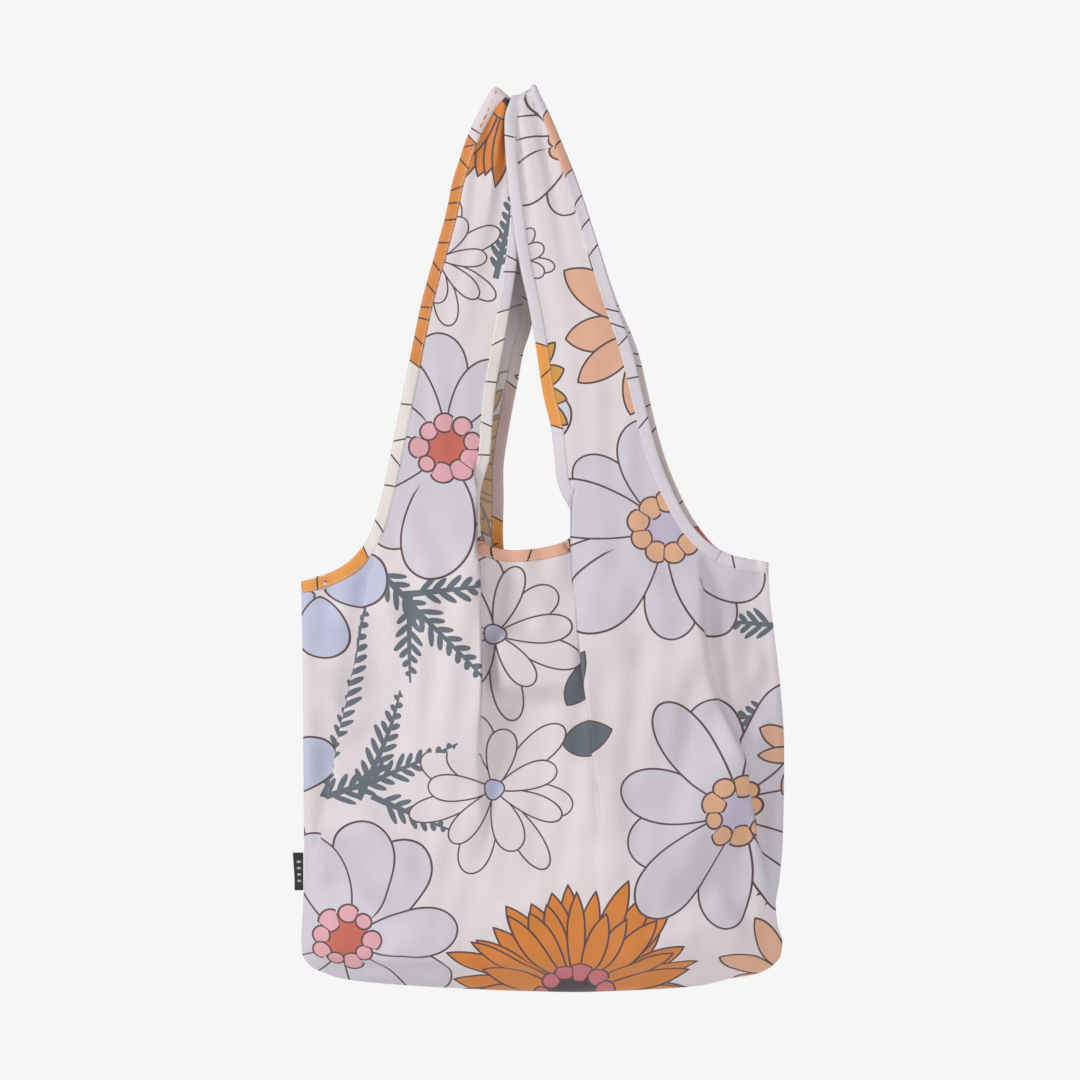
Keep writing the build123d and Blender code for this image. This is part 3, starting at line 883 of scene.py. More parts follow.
class Graph:
    """A material and a short way to write its nodes."""

    def __init__(self, name):
        self.material = bpy.data.materials.new(name)
        self.material.use_nodes = True
        self.tree = self.material.node_tree
        self.surface = next(n for n in self.tree.nodes if n.type == "BSDF_PRINCIPLED")

    def put(self, socket, value):
        """Links a number, a socket or a colour to an input, or sets it."""
        if isinstance(value, Num):
            value = value.socket
        if isinstance(value, bpy.types.NodeSocket):
            self.tree.links.new(value, socket)
        elif isinstance(value, tuple) and len(value) == 3 and socket.type == "RGBA":
            socket.default_value = (*value, 1)
        else:
            socket.default_value = value

    def node(self, kind, inputs=None, **props):
        node = self.tree.nodes.new(kind)
        for key, value in props.items():
            setattr(node, key, value)
        for key, value in (inputs or {}).items():
            self.put(node.inputs[key], value)
        return node

    def math(self, operation, *values):
        node = self.node("ShaderNodeMath", dict(enumerate(values)), operation=operation)
        return Num(self, node.outputs[0])

    def root(self, value):
        return self.math("SQRT", value)

    def step(self, value, low, high):
        """0 below low, 1 above high and smooth between."""
        inputs = {"Value": value, "From Min": low, "From Max": high}
        node = self.node("ShaderNodeMapRange", inputs, interpolation_type="SMOOTHSTEP")
        return Num(self, node.outputs["Result"])

    def mix(self, share, a, b, blend="MIX"):
        node = self.node("ShaderNodeMix", {0: share, 6: a, 7: b}, data_type="RGBA", blend_type=blend)
        return node.outputs[2]

    def split(self, vector):
        node = self.node("ShaderNodeSeparateXYZ", {0: vector})
        return [Num(self, node.outputs[k]) for k in range(3)]

    def join(self, x, y, z=0.0):
        return self.node("ShaderNodeCombineXYZ", {0: x, 1: y, 2: z}).outputs[0]

    def attribute(self, name):
        """The attribute as three numbers, its fourth number and its colour."""
        node = self.node("ShaderNodeAttribute", attribute_name=name)
        return self.split(node.outputs["Vector"]), Num(self, node.outputs["Alpha"]), node.outputs["Color"]

    def pattern(self):
        """Print coordinates in mm."""
        u, v, _ = self.split(self.node("ShaderNodeUVMap", uv_map="pattern").outputs[0])
        return u * 100, v * 100

    def chance(self, a, b):
        """Three random numbers and a fourth, the same for the same a and b."""
        node = self.node("ShaderNodeTexWhiteNoise", {"Vector": self.join(a, b)}, noise_dimensions="2D")
        parts = self.node("ShaderNodeSeparateColor", {0: node.outputs["Color"]})
        return [Num(self, parts.outputs[k]) for k in range(3)] + [Num(self, node.outputs["Value"])]

    def noise(self, scale, detail=2.0, where=None, roughness=0.5):
        """Noise with features of about the given size in mm."""
        vector = where or self.node("ShaderNodeTexCoord").outputs["Object"]
        inputs = {"Vector": vector, "Scale": (1000 if where is None else 1) / scale, "Detail": detail,
                  "Roughness": roughness}
        return Num(self, self.node("ShaderNodeTexNoise", inputs).outputs["Fac"])

    def bump(self, height, depth_mm, strength=1.0, normal=None):
        inputs = {"Strength": strength, "Distance": depth_mm * MM, "Height": height}
        if normal is not None:
            inputs["Normal"] = normal
        return self.node("ShaderNodeBump", inputs).outputs[0]

    def finish(self, colour, roughness, normal=None, **values):
        self.put(self.surface.inputs["Base Color"], colour)
        self.put(self.surface.inputs["Roughness"], roughness)
        if normal is not None:
            self.put(self.surface.inputs["Normal"], normal)
        for key, value in values.items():
            self.put(self.surface.inputs[key.replace("_", " ")], value)
        return self.material


SOFT = 0.12  # half width of a printed edge's blur, mm


def drawn(g, distance, half_width):
    """1 on a printed line, from the distance to its middle."""
    return 1 - g.step(abs(distance), half_width - SOFT, half_width + SOFT)


def petal(g, radius, angle, index, sector, shape):
    """Distance to the outline of one petal, negative inside, and the petal's place in the stack."""
    c, a, b, p, e, seed, jitter = shape
    turn, length, width, order = g.chance(index, seed)
    angle = angle + (turn - 0.5) * jitter * sector
    x = radius * g.math("COSINE", angle) / (length * 0.26 + 0.87) - c
    y = abs(radius * g.math("SINE", angle))
    s = x / a
    half = b * (width * 0.3 + 0.85) * g.math("MAXIMUM", 1 + e * s, 0.25)
    q = y / half
    k0 = g.root(s * s + q * q)
    sa, qb = s / a, q / half
    round_edge = k0 * (k0 - 1) / g.math("MAXIMUM", g.root(sa * sa + qb * qb), 0.0001)
    bow = (a * a + half * half) / (half * 2)
    dy = y + bow - half
    sharp_edge = g.root(x * x + dy * dy) - bow
    return round_edge + (sharp_edge - round_edge) * p, order


def flower_layer(g, u, v, ground, k):
    """The colour with one layer of flowers drawn over it."""
    (cx, cy, turn), n, _ = g.attribute(f"flower{k}a")
    (c, a, b), p, _ = g.attribute(f"flower{k}b")
    (e, line, seed), jitter, _ = g.attribute(f"flower{k}c")
    dx, dy = u - cx, v - cy
    radius = g.root(dx * dx + dy * dy)
    around = g.math("FRACT", (g.math("ARCTAN2", dy, dx) - turn) / TURN)
    shape = (c, a, b, p, e, seed, jitter)
    t = around * n
    index = g.math("FLOOR", t + 0.5)
    off = t - index
    side = g.math("SIGN", off)
    sector = TURN / n
    here, beside = g.math("FLOORED_MODULO", index, n), g.math("FLOORED_MODULO", index + side, n)
    d1, order1 = petal(g, radius, off * sector, here, sector, shape)
    d2, order2 = petal(g, radius, (off - side) * sector, beside, sector, shape)
    first = order1 > order2
    over = d2 + (d1 - d2) * first
    under = d1 + d2 - over
    lines = g.math("MAXIMUM", drawn(g, over, line), drawn(g, under, line) * (over > 0))
    inside = 1 - g.step(g.math("MINIMUM", d1, d2), line - SOFT, line + SOFT)
    there = n > 0.5
    _, m, fill = g.attribute(f"flower{k}d")
    colour = g.mix(inside * there, ground, g.mix(lines, fill, PLUM))
    _, ring, disc = g.attribute(f"flower{k}e")
    wobble = ring * (1 + 0.07 * g.math("SINE", around * (TURN * 3) + seed))
    gap = radius - wobble
    in_disc = (1 - g.step(gap, line - SOFT, line + SOFT)) * (ring > 0.1)
    rim = drawn(g, gap, line) * (m < 0.5)
    colour = g.mix(in_disc, colour, g.mix(rim, disc, PLUM))
    _, bead_r, bead = g.attribute(f"flower{k}f")
    t = around * m
    index = g.math("FLOOR", t + 0.5)
    off = t - index
    r1, r2, r3, _ = g.chance(g.math("FLOORED_MODULO", index, m) + 50, seed)
    angle = (off + (r1 - 0.5) * 0.2) * (TURN / m)
    x = radius * g.math("COSINE", angle) - ring * (0.92 + r2 * 0.16)
    y = radius * g.math("SINE", angle)
    d = g.root(x * x + y * y * 0.86) - bead_r * (0.78 + r3 * 0.42)
    cut = radius * g.math("SINE", (0.5 - abs(off)) * (TURN / m))
    lines = g.math("MAXIMUM", drawn(g, d, line), drawn(g, cut, line * 0.6))
    in_bead = (1 - g.step(d, line - SOFT, line + SOFT)) * (m > 0.5)
    return g.mix(in_bead, colour, g.mix(lines, bead, PLUM))


LEAFLET_SLANT = 0.72  # angle between a fern's stem and its leaflets


def fern_layer(g, u, v, ground, k):
    """The colour with one layer of ferns drawn over it."""
    (cx, cy, turn), length, _ = g.attribute(f"fern{k}a")
    (spacing, leaflet, bend), stem, _ = g.attribute(f"fern{k}b")
    dx, dy = u - cx, v - cy
    cos, sin = g.math("COSINE", turn), g.math("SINE", turn)
    x = dx * cos + dy * sin
    y = dy * cos - dx * sin - bend * x * x / length
    share = x / length
    side = g.math("SIGN", y)
    y = abs(y)
    on_stem = (y < stem * (1.5 - share)) * (x > -2) * (share < 1)
    base = x - y / math.tan(LEAFLET_SLANT) + side * spacing * 0.22
    index = g.math("ROUND", base / spacing)
    size, _, _, _ = g.chance(index + side * 31, cx)
    reach = leaflet * (0.8 + size * 0.4) * g.math("MINIMUM", (1.06 - share) * 2.2, 1)
    ex = base - index * spacing + y / math.tan(LEAFLET_SLANT)
    c, s = math.cos(LEAFLET_SLANT), math.sin(LEAFLET_SLANT)
    along = (ex * c + y * s) / reach
    across = abs(y * c - ex * s)
    bulge = g.math("MAXIMUM", along * (1 - along), 0)
    leaf_half = g.root(bulge) * 4.2 + 0.1
    on_row = (index > 0.5) * (index * spacing < length * 0.97)
    on_leaf = (across < leaf_half) * (along > 0) * (along < 1) * on_row
    here = g.math("MAXIMUM", on_stem, on_leaf) * (length > 1)
    return g.mix(here, ground, SLATE)


RIPSTOP = 2.5  # pitch of the ripstop grid, mm


def ripstop(g, u, v):
    """1 on the grid's thicker threads."""
    lines = []
    for w in (u, v):
        off = abs(g.math("FRACT", w / RIPSTOP) - 0.5)
        lines.append(g.step(off, 0.36, 0.48))
    return g.math("MAXIMUM", *lines)


def printed_cloth():
    """Ripstop with the print drawn on it: a grid of thicker threads, a fine weave and crinkle."""
    g = Graph("printed_ripstop_cloth")
    u, v = g.pattern()
    colour = CREAM
    for k in range(FERN_LAYERS):
        colour = fern_layer(g, u, v, colour, k)
    for k in range(FLOWER_LAYERS):
        colour = flower_layer(g, u, v, colour, k)
    grid = ripstop(g, u, v)
    colour = g.mix(grid * 0.07, colour, (0.2, 0.15, 0.17))
    patch = g.noise(70, 3)
    colour = g.mix(patch * 0.10, colour, srgb(214, 205, 210))
    back = Num(g, g.node("ShaderNodeNewGeometry").outputs["Backfacing"])
    colour = g.mix(back * 0.35, colour, srgb(226, 216, 212))
    where = g.join(u, v)
    weave = g.noise(0.45, 1, where)
    crinkle = g.noise(9, 3, where)
    normal = g.bump(grid * 0.8 + weave * 0.5, 0.12, 0.35)
    normal = g.bump(crinkle, 0.5, 0.25, normal)
    rough = 0.5 + g.noise(30, 2) * 0.16 - grid * 0.05
    return g.finish(colour, rough, normal, Sheen_Weight=0.25, Sheen_Roughness=0.45, Specular_IOR_Level=0.35)


LINE_PITCH, LINE_HALF = 17, 0.62  # the binding's dark lines: at most one in each pitch, and half their width


def binding_cloth():
    """The binding strip: runs of one colour, dark lines across them and the ripstop grid."""
    g = Graph("printed_binding_cloth")
    u, v = g.pattern()
    _, busy, tint = g.attribute("tint")
    _, spot, tint_after = g.attribute("tint_after")
    past = u - spot + (abs(v) - 5) * 0.5
    tint = g.mix(g.step(past, -SOFT, SOFT), tint, tint_after)
    cell = g.math("FLOOR", u / LINE_PITCH)
    where, slope, there, _ = g.chance(cell, 3.0)
    slope = (slope - 0.5) * 1.8
    line = u - cell * LINE_PITCH - 3 - where * 11 - (v - 5) * slope
    line = line * g.math("COSINE", g.math("ARCTANGENT", slope))
    mark = g.math("MAXIMUM", drawn(g, line, LINE_HALF) * (there < busy), drawn(g, past, LINE_HALF))
    colour = g.mix(mark, tint, INK)
    patch = g.noise(22, 3)
    colour = g.mix(patch * 0.2, colour, g.mix(0.5, colour, srgb(205, 196, 202)))
    grid = ripstop(g, u, v)
    colour = g.mix(grid * 0.05, colour, (0.2, 0.17, 0.18))
    crinkle = g.noise(3.2, 3, g.join(u, v * 0.5))
    normal = g.bump(grid * 0.7 + g.noise(0.45, 1, g.join(u, v)) * 0.5, 0.12, 0.35)
    normal = g.bump(crinkle, 0.45, 0.45, normal)
    rough = 0.48 + patch * 0.16
    return g.finish(colour, rough, normal, Sheen_Weight=0.3, Sheen_Roughness=0.4, Specular_IOR_Level=0.35)


def thread():
    """Sewing thread with its twist."""
    g = Graph("topstitch_thread")
    where = g.node("ShaderNodeTexCoord").outputs["Object"]
    wave = {"Vector": where, "Scale": 900.0, "Distortion": 2.0}
    twist = Num(g, g.node("ShaderNodeTexWave", wave, bands_direction="DIAGONAL").outputs["Fac"])
    colour = g.mix(twist * 0.35, srgb(240, 233, 233), srgb(206, 196, 198))
    normal = g.bump(twist, 0.06, 0.5)
    return g.finish(colour, 0.42 + g.noise(4) * 0.15, normal, Sheen_Weight=0.2)


def twill_tape(name, light, dark):
    """Woven tape with a fine diagonal."""
    g = Graph(name)
    x, _, z = g.split(g.node("ShaderNodeTexCoord").outputs["Object"])
    slant = g.math("FRACT", (x + z) * (1000 / 1.1))
    rib = g.step(abs(slant - 0.5), 0.1, 0.4)
    colour = g.mix(rib * 0.5 + g.noise(12) * 0.25, light, dark)
    normal = g.bump(rib + g.noise(0.5) * 0.4, 0.12, 0.5)
    return g.finish(colour, 0.66 + g.noise(6) * 0.14, normal, Sheen_Weight=0.3)


def label_cloth():
    """Black satin weave with a plain row of light bars, set in the label's own coordinates."""
    g = Graph("woven_label_cloth")
    u, v = g.pattern()
    row = g.math("FRACT", v / 5.2)
    bar = (abs(row - 0.5) < 0.17) * (abs(u - 3.6) < 1.5) * (abs(v - 15.5) < 11)
    pick = g.math("FRACT", v / 0.5)
    end = g.math("FRACT", u / 0.42)
    weave = g.step(abs(pick - 0.5), 0.2, 0.45) * 0.6 + g.step(abs(end - 0.5), 0.25, 0.45) * 0.4
    ground = g.mix(weave * 0.6, srgb(30, 24, 26), srgb(62, 55, 57))
    colour = g.mix(bar * (0.9 - weave * 0.25), ground, srgb(206, 200, 198))
    normal = g.bump(weave + bar * 0.8, 0.12, 0.6)
    return g.finish(colour, 0.5 + weave * 0.18, normal, Sheen_Weight=0.25)


def snap_plastic():
    """Moulded resin, a little uneven and glossy."""
    g = Graph("snap_resin_plastic")
    colour = g.mix(g.noise(3, 3), srgb(226, 221, 214), srgb(214, 208, 202))
    normal = g.bump(g.noise(0.8, 3), 0.03, 0.4)
    return g.finish(colour, 0.28 + g.noise(5, 2) * 0.18, normal, Coat_Weight=0.2, Subsurface_Weight=0.05)


MATERIALS = {
    "cloth": printed_cloth(),
    "binding": binding_cloth(),
    "thread": thread(),
    "tape": twill_tape("seam_tape_twill", srgb(226, 216, 212), srgb(196, 184, 182)),
    "hang": twill_tape("hang_tape_twill", srgb(222, 214, 206), srgb(190, 178, 172)),
    "label": label_cloth(),
    "snap": snap_plastic(),
}


# ---------------------------------------------------------------- meshes
class Build:
    """Gathers the parts of one piece and makes its object."""

    def __init__(self, *materials):
        self.materials = materials
        self.verts, self.faces, self.uv, self.slots, self.tints, self.normals = [], [], [], [], [], []
        self.count = 0

    def add(self, verts, faces, uv=None, slot=0, tint=None):
        """One more part: its points, faces, print coordinates, material and, for a binding, colours."""
        verts = np.asarray(verts, float).reshape(-1, 3)
        self.verts.append(verts)
        self.faces += [tuple(int(i) + self.count for i in f) for f in faces]
        self.uv.append(np.zeros((len(verts), 2)) if uv is None else np.asarray(uv, float).reshape(-1, 2))
        self.tints.append(np.ones((len(faces), 8)) if tint is None else tint)
        self.slots += [slot] * len(faces)
        self.count += len(verts)

    def object(self, name, normals=None, printed=None, strap=None):
        """The piece's object; printed says which panel's print it takes, and strap which handle it is."""
        verts, uv = np.concatenate(self.verts), np.concatenate(self.uv)
        mesh = bpy.data.meshes.new(name)
        mesh.from_pydata((verts * MM).tolist(), [], self.faces)
        mesh.polygons.foreach_set("use_smooth", [True] * len(mesh.polygons))
        mesh.polygons.foreach_set("material_index", self.slots)
        loops = np.empty(len(mesh.loops), np.int32)
        mesh.loops.foreach_get("vertex_index", loops)
        layer = mesh.uv_layers.new(name="pattern")
        layer.data.foreach_set("uv", (uv[loops] * 0.01).astype(np.float32).ravel())
        if "binding" in self.materials:
            tints = np.concatenate(self.tints)
            store(mesh, "tint", tints[:, :4])
            store(mesh, "tint_after", tints[:, 4:])
        if printed:
            centres = np.array([uv[list(f)].mean(0) for f in self.faces])
            flowers, ferns = PRINTS[printed]
            paint(mesh, centres, [f for f in flowers if f.get("strap") in (None, strap)], ferns)
        for key in self.materials:
            mesh.materials.append(MATERIALS[key])
        if normals is not None:
            mesh.normals_split_custom_set_from_vertices(normals.tolist())
        mesh.update()
        obj = bpy.data.objects.new(name, mesh)
        bpy.context.collection.objects.link(obj)
        return obj


def area_normals(points, quads):
    """The faces' normals, as long as twice their areas."""
    return np.cross(points[quads[:, 2]] - points[quads[:, 0]], points[quads[:, 3]] - points[quads[:, 1]])


def add_tube(build, rings, uv, tint=None, slot=0):
    """A closed section swept along rings, with both ends capped."""
    n, m = rings.shape[:2]
    points = rings.reshape(-1, 3)
    quads = grid_quads(n, m, closed=True)
    away = points[quads].mean(1) - np.repeat((rings[:-1].mean(1) + rings[1:].mean(1)) / 2, m, 0)
    flip = (area_normals(points, quads) * away).sum() < 0
    caps = [list(range(m - 1, -1, -1)), list(range((n - 1) * m, n * m))]
    if flip:
        quads = quads[:, ::-1]
        caps = [c[::-1] for c in caps]
    if tint is not None:
        tint = np.repeat(np.concatenate(tint, 1), m, 0)
        tint = np.concatenate([tint, tint[:1], tint[-1:]])
    build.add(points, quads.tolist() + caps, uv, slot, tint)


def add_shell(build, top, under, uv=None, slot=0, tint=None):
    """A thin closed sheet between two grids of points that share their rim's order."""
    n, m = top.shape[:2]
    points = np.concatenate([top.reshape(-1, 3), under.reshape(-1, 3)])
    quads = grid_quads(n, m)
    size = n * m
    if (area_normals(points, quads) * (top - under).reshape(-1, 3)[quads[:, 0]]).sum() < 0:
        quads = quads[:, ::-1]
    flipped = quads[0][1] != 1
    faces = quads.tolist() + (quads[:, ::-1] + size).tolist()
    rim = list(range(m)) + [i * m + m - 1 for i in range(1, n)]
    rim += [(n - 1) * m + j for j in range(m - 2, -1, -1)] + [i * m for i in range(n - 2, 0, -1)]
    for a, b in zip(rim, rim[1:] + rim[:1]):
        faces.append((a, b, b + size, a + size) if flipped else (b, a, a + size, b + size))
    if uv is not None:
        uv = np.concatenate([uv.reshape(-1, 2)] * 2)
    build.add(points, faces, uv, slot, tint)


STITCH, STITCH_GAP = 2.3, 0.8  # length of a stitch and of the gap after it


def add_stitches(build, line, side, place, lift, slot=1):
    """Short thread bars along a line of print points; place turns print points and a lift into places."""
    run = path_run(line)
    count = int((run[-1] - 1) // (STITCH + STITCH_GAP))
    if count < 1:
        return
    starts = 0.6 + (STITCH + STITCH_GAP) * np.arange(count)
    at = (starts[:, None] + np.array([0, 0.45, STITCH - 0.45, STITCH])).ravel()
    middle = np.stack([np.interp(at, run, line[:, k]) for k in (0, 1)], 1)
    across = np.stack([np.interp(at, run, side[:, k]) for k in (0, 1)], 1)
    half = np.tile([0.1, 0.27, 0.27, 0.1], count)[:, None]
    up = np.tile([0.0, 0.3, 0.3, 0.0], count)
    sign = 1 if lift > 0 else -1
    low = np.full(len(at), sign * (abs(lift) - 0.12))
    rows_of = [
        place(middle - across * half, low),
        place(middle, sign * (abs(lift) - 0.05 + up)),
        place(middle + across * half, low),
    ]
    points = np.stack(rows_of, 1)
    base = np.arange(count)[:, None] * 12
    quads = (grid_quads(4, 3)[None, :, :] + base[:, :, None]).reshape(-1, 4)
    flat = points.reshape(-1, 3)
    mid = flat[quads].mean(1)
    centre = flat.reshape(count, 12, 3)[:, [0, 2, 9, 11]].mean(1)
    if (area_normals(flat, quads) * (mid - np.repeat(centre, 6, 0))).sum() < 0:
        quads = quads[:, ::-1]
    build.add(flat, quads.tolist(), slot=slot)


EDGE_TRIM = 4.0  # the cloth stops this far inside its bound edge, under the binding


def inside_strap(face, side, p):
    """Which print points lie between a strap's two edges."""
    x, z = p[..., 0], p[..., 1]
    zc = np.minimum(z, STRAP_TOP)
    outer, inner = STRAP[side, face, "outer"](zc), STRAP[side, face, "inner"](zc)
    return (x > np.minimum(outer, inner) + EDGE_TRIM) & (x < np.maximum(outer, inner) - EDGE_TRIM)


def under_path(path, x, z, margin):
    """Which print points lie below an edge that runs roughly along x."""
    order = np.argsort(path[:, 0])
    return z < np.interp(x, path[order, 0], path[order, 1]) - margin


def inside_panel(face, p):
    """The panel's own area: below the two armholes and the neckline."""
    x, z = p[..., 0], p[..., 1]
    keep = np.ones(x.shape, bool)
    for side in ("left", "right"):
        path = PATHS[side, face, "outer"][0]
        low = path[path[:, 1] < SPLIT_Z + 24]
        out = -1 if side == "left" else 1
        keep &= (x * out <= low[-1, 0] * out) | under_path(low, x, z, EDGE_TRIM)
    neck = np.concatenate([PATHS["left", face, "inner"][0][::-1], PATHS["right", face, "inner"][0]])
    neck = neck[neck[:, 1] < SPLIT_Z + 20]
    keep &= (x <= neck[:, 0].min()) | (x >= neck[:, 0].max()) | under_path(neck, x, z, EDGE_TRIM)
    return keep


def cloth_piece(name, face, side):
    """The panel's cloth under the split row (side "both"), or one strap's above it."""
    cloth = cloths[face, side]
    p = cloth.print
    centre = (p[:-1, :-1] + p[1:, 1:] + p[:-1, 1:] + p[1:, :-1]) / 4
    cells = inside_panel(face, centre)
    if side == "both":
        cells[SPLIT_ROW:] = False
    else:
        own = (centre[..., 0] < -8) if side == "left" else (centre[..., 0] > -8)
        cells = inside_strap(face, side, centre) | (cells & (centre[..., 1] < 385) & own)
        cells[:SPLIT_ROW] = False
    i, j = np.nonzero(cells)
    cols_n = p.shape[1]
    a = i * cols_n + j
    quads = np.stack([a, a + 1, a + cols_n + 1, a + cols_n], 1)
    used = np.unique(quads)
    where = np.full(used.max() + 1, -1)
    where[used] = np.arange(len(used))
    quads = where[quads]
    uv = p.reshape(-1, 2)[used]
    if face == "back":
        quads = quads[:, ::-1]
        uv = uv + np.array([BACK_SHIFT, 0.0])
    build = Build("cloth")
    build.add(cloth.points.reshape(-1, 3)[used], quads.tolist(), uv)
    return build.object(name, cloth.normals.reshape(-1, 3)[used], face, side)


# ---------------------------------------------------------------- bindings
BINDING_ACROSS = np.array([9.2, 8.9, 7.5, 4.6, 2.1, 0.4, -0.5])  # from its hem to just past the cloth's edge
BINDING_LIFT = np.array([0.1, 0.5, 0.72, 0.66, 0.72, 0.66, 0.0])
STITCH_IN = 7.7
NO_CHANGE = -9999  # where a stretch of binding has one colour only


def colour_run(*stops):
    """A binding's colour against height: (from height, colour, how often a dark line crosses it)."""

    def at(z):
        out = np.zeros((len(z), 4))
        for low, colour, busy in stops:
            out[np.asarray(z) >= low] = (*colour, busy)
        return out

    return at


BIND_CREAM, BIND_WHITE = srgb(240, 231, 228), srgb(230, 224, 230)
BIND_ORANGE, BIND_RUST, BIND_PEACH = srgb(246, 162, 66), srgb(224, 138, 54), srgb(240, 180, 152)
BIND_PINK = srgb(236, 220, 224)
BINDING_COLOUR = {
    ("left", "front", "outer"): colour_run(
        (0, BIND_ORANGE, 0.3), (366, BIND_CREAM, 0.55), (518, BIND_RUST, 0.8), (704, BIND_PINK, 0.1)
    ),
    ("left", "front", "inner"): colour_run(
        (0, BIND_PEACH, 0.75), (372, BIND_CREAM, 0.35), (560, BIND_WHITE, 0.5), (640, BIND_CREAM, 0.3)
    ),
    ("right", "front", "inner"): colour_run(
        (0, BIND_PEACH, 0.75), (372, BIND_WHITE, 0.05), (464, BIND_ORANGE, 0.45),
        (532, BIND_WHITE, 0.1)
    ),
    ("right", "front", "outer"): colour_run(
        (0, BIND_WHITE, 0.15), (420, BIND_WHITE, 0.3), (676, BIND_PEACH, 0.6), (722, BIND_WHITE, 0.2)
    ),
    ("left", "back", "outer"): colour_run(
        (0, BIND_CREAM, 0.4), (420, BIND_ORANGE, 0.5), (600, BIND_WHITE, 0.4)
    ),
    ("left", "back", "inner"): colour_run(
        (0, BIND_ORANGE, 0.4), (392, srgb(212, 186, 184), 0.2), (500, srgb(226, 214, 212), 0.35),
        (600, BIND_CREAM, 0.4)
    ),
    ("right", "back", "inner"): colour_run(
        (0, BIND_PEACH, 0.4), (450, BIND_CREAM, 0.3), (600, BIND_ORANGE, 0.5)
    ),
    ("right", "back", "outer"): colour_run(
        (0, BIND_CREAM, 0.3), (357, srgb(214, 104, 92), 0.3), (385, srgb(228, 216, 212), 0.3),
        (520, BIND_WHITE, 0.3), (640, BIND_PEACH, 0.4)
    ),
}


def edge_parts(side, face, edge):
    """An edge's path with a point at the split height, the directions into the cloth, and where that is."""
    path, out = PATHS[side, face, edge]
    split = SPLIT_Z if edge == "outer" else NECK_SPLIT_Z
    i = int(np.argmax(path[:, 1] > split))
    t = (split - path[i - 1, 1]) / (path[i, 1] - path[i - 1, 1])
    path = np.insert(path, i, path[i - 1] + (path[i] - path[i - 1]) * t, axis=0)
    return path, relax(leftwards(path) * out, 3), i


def section(cloth, path, inward, run):
    """Rings of the folded strip along part of an edge."""
    pucker = 0.13 * np.sin(run * TURN / 7.1 + 1.1 * np.sin(run / 29)) + 0.07 * np.sin(run * TURN / 3.3)
    tops, unders = [], []
    for across, lift in zip(BINDING_ACROSS, BINDING_LIFT):
        rise = lift + pucker * (1 if lift > 0.3 else 0)
        tops.append(cloth.place(path + inward * across, rise))
        unders.append(cloth.place(path + inward * across, -rise))
    rings = np.stack(tops + unders[-2::-1], 1)
    v = np.concatenate([BINDING_ACROSS, -BINDING_ACROSS[-2::-1]])
    uv = np.stack([np.repeat(run[:, None], len(v), 1), np.repeat(v[None], len(run), 0)], -1)
    return rings, uv


def tint_bands(side, face, edge, path, run):
    """For each stretch between rings, the colours before and after the nearest change, and its place."""
    colour = BINDING_COLOUR[side, face, edge](path[:, 1])
    before, after = colour[:-1].copy(), colour[1:].copy()
    where = (run[:-1] + run[1:]) / 2
    rising = run[:-1] < run[1:]
    for i in np.nonzero((before != after).any(1))[0]:
        low, high = (i, i + 1) if rising[i] else (i + 1, i)
        near = abs(where - where[i]) < 9
        before[near], after[near] = colour[low], colour[high]
        after[near, 3] = where[i]
    flat = (before[:, :3] == after[:, :3]).all(1)
    after[flat, 3] = NO_CHANGE
    return before, after


def add_topstitch(build, cloth, path, inward):
    """Both faces' topstitching along a binding."""
    for lift in (BINDING_LIFT.max(), -BINDING_LIFT.max()):
        add_stitches(build, path + inward * STITCH_IN, inward, cloth.place, lift)


def loop_binding(name, side, edge):
    """The binding on one edge of a handle, from the front panel over the crest to the back panel."""
    stitches = Build("binding", "thread")
    rings, uvs, befores, afters = [], [], [], []
    start = {"left": 0, "right": 2400}[side] + {"outer": 0, "inner": 1200}[edge]
    for face in ("front", "back"):
        path, inward, split = edge_parts(side, face, edge)
        path, inward = path[split:], inward[split:]
        run = path_run(path, start)
        if face == "back":
            run = start + run[-1] - run
        ring, uv = section(cloths[face, side], path, inward, run)
        before, after = tint_bands(side, face, edge, path, run)
        add_topstitch(stitches, cloths[face, side], path[:-2], inward[:-2])
        if face == "back":
            ring, uv, before, after = ring[-2::-1], uv[-2::-1], before[::-1], after[::-1]
        rings.append(ring)
        uvs.append(uv)
        befores.append(before)
        afters.append(after)
        start = run.max()
    build = Build("binding", "thread")
    tint = (np.concatenate(befores), np.concatenate(afters))
    add_tube(build, np.concatenate(rings), np.concatenate(uvs), tint)
    merge(build, stitches)
    return build.object(name)


def merge(build, other):
    """Adds everything that another build holds."""
    for verts, uv, tint in zip(other.verts, other.uv, other.tints):
        build.verts.append(verts)
        build.uv.append(uv)
        build.tints.append(tint)
    build.faces += [tuple(i + build.count for i in f) for f in other.faces]
    build.slots += other.slots
    build.count += other.count


def armhole_binding(name, side):
    """The binding under a handle, on the front panel and on the back one."""
    build = Build("binding", "thread")
    for face in ("front", "back"):
        path, inward, split = edge_parts(side, face, "outer")
        path, inward = path[: split + 1], inward[: split + 1]
        run = path_run(path, {"front": 5000, "back": 5400}[face] + (900 if side == "left" else 0))
        ring, uv = section(cloths[face, "both"], path, inward, run)
        add_tube(build, ring, uv, tint_bands(side, face, "outer", path, run))
        add_topstitch(build, cloths[face, "both"], path, inward)
    return build.object(name)


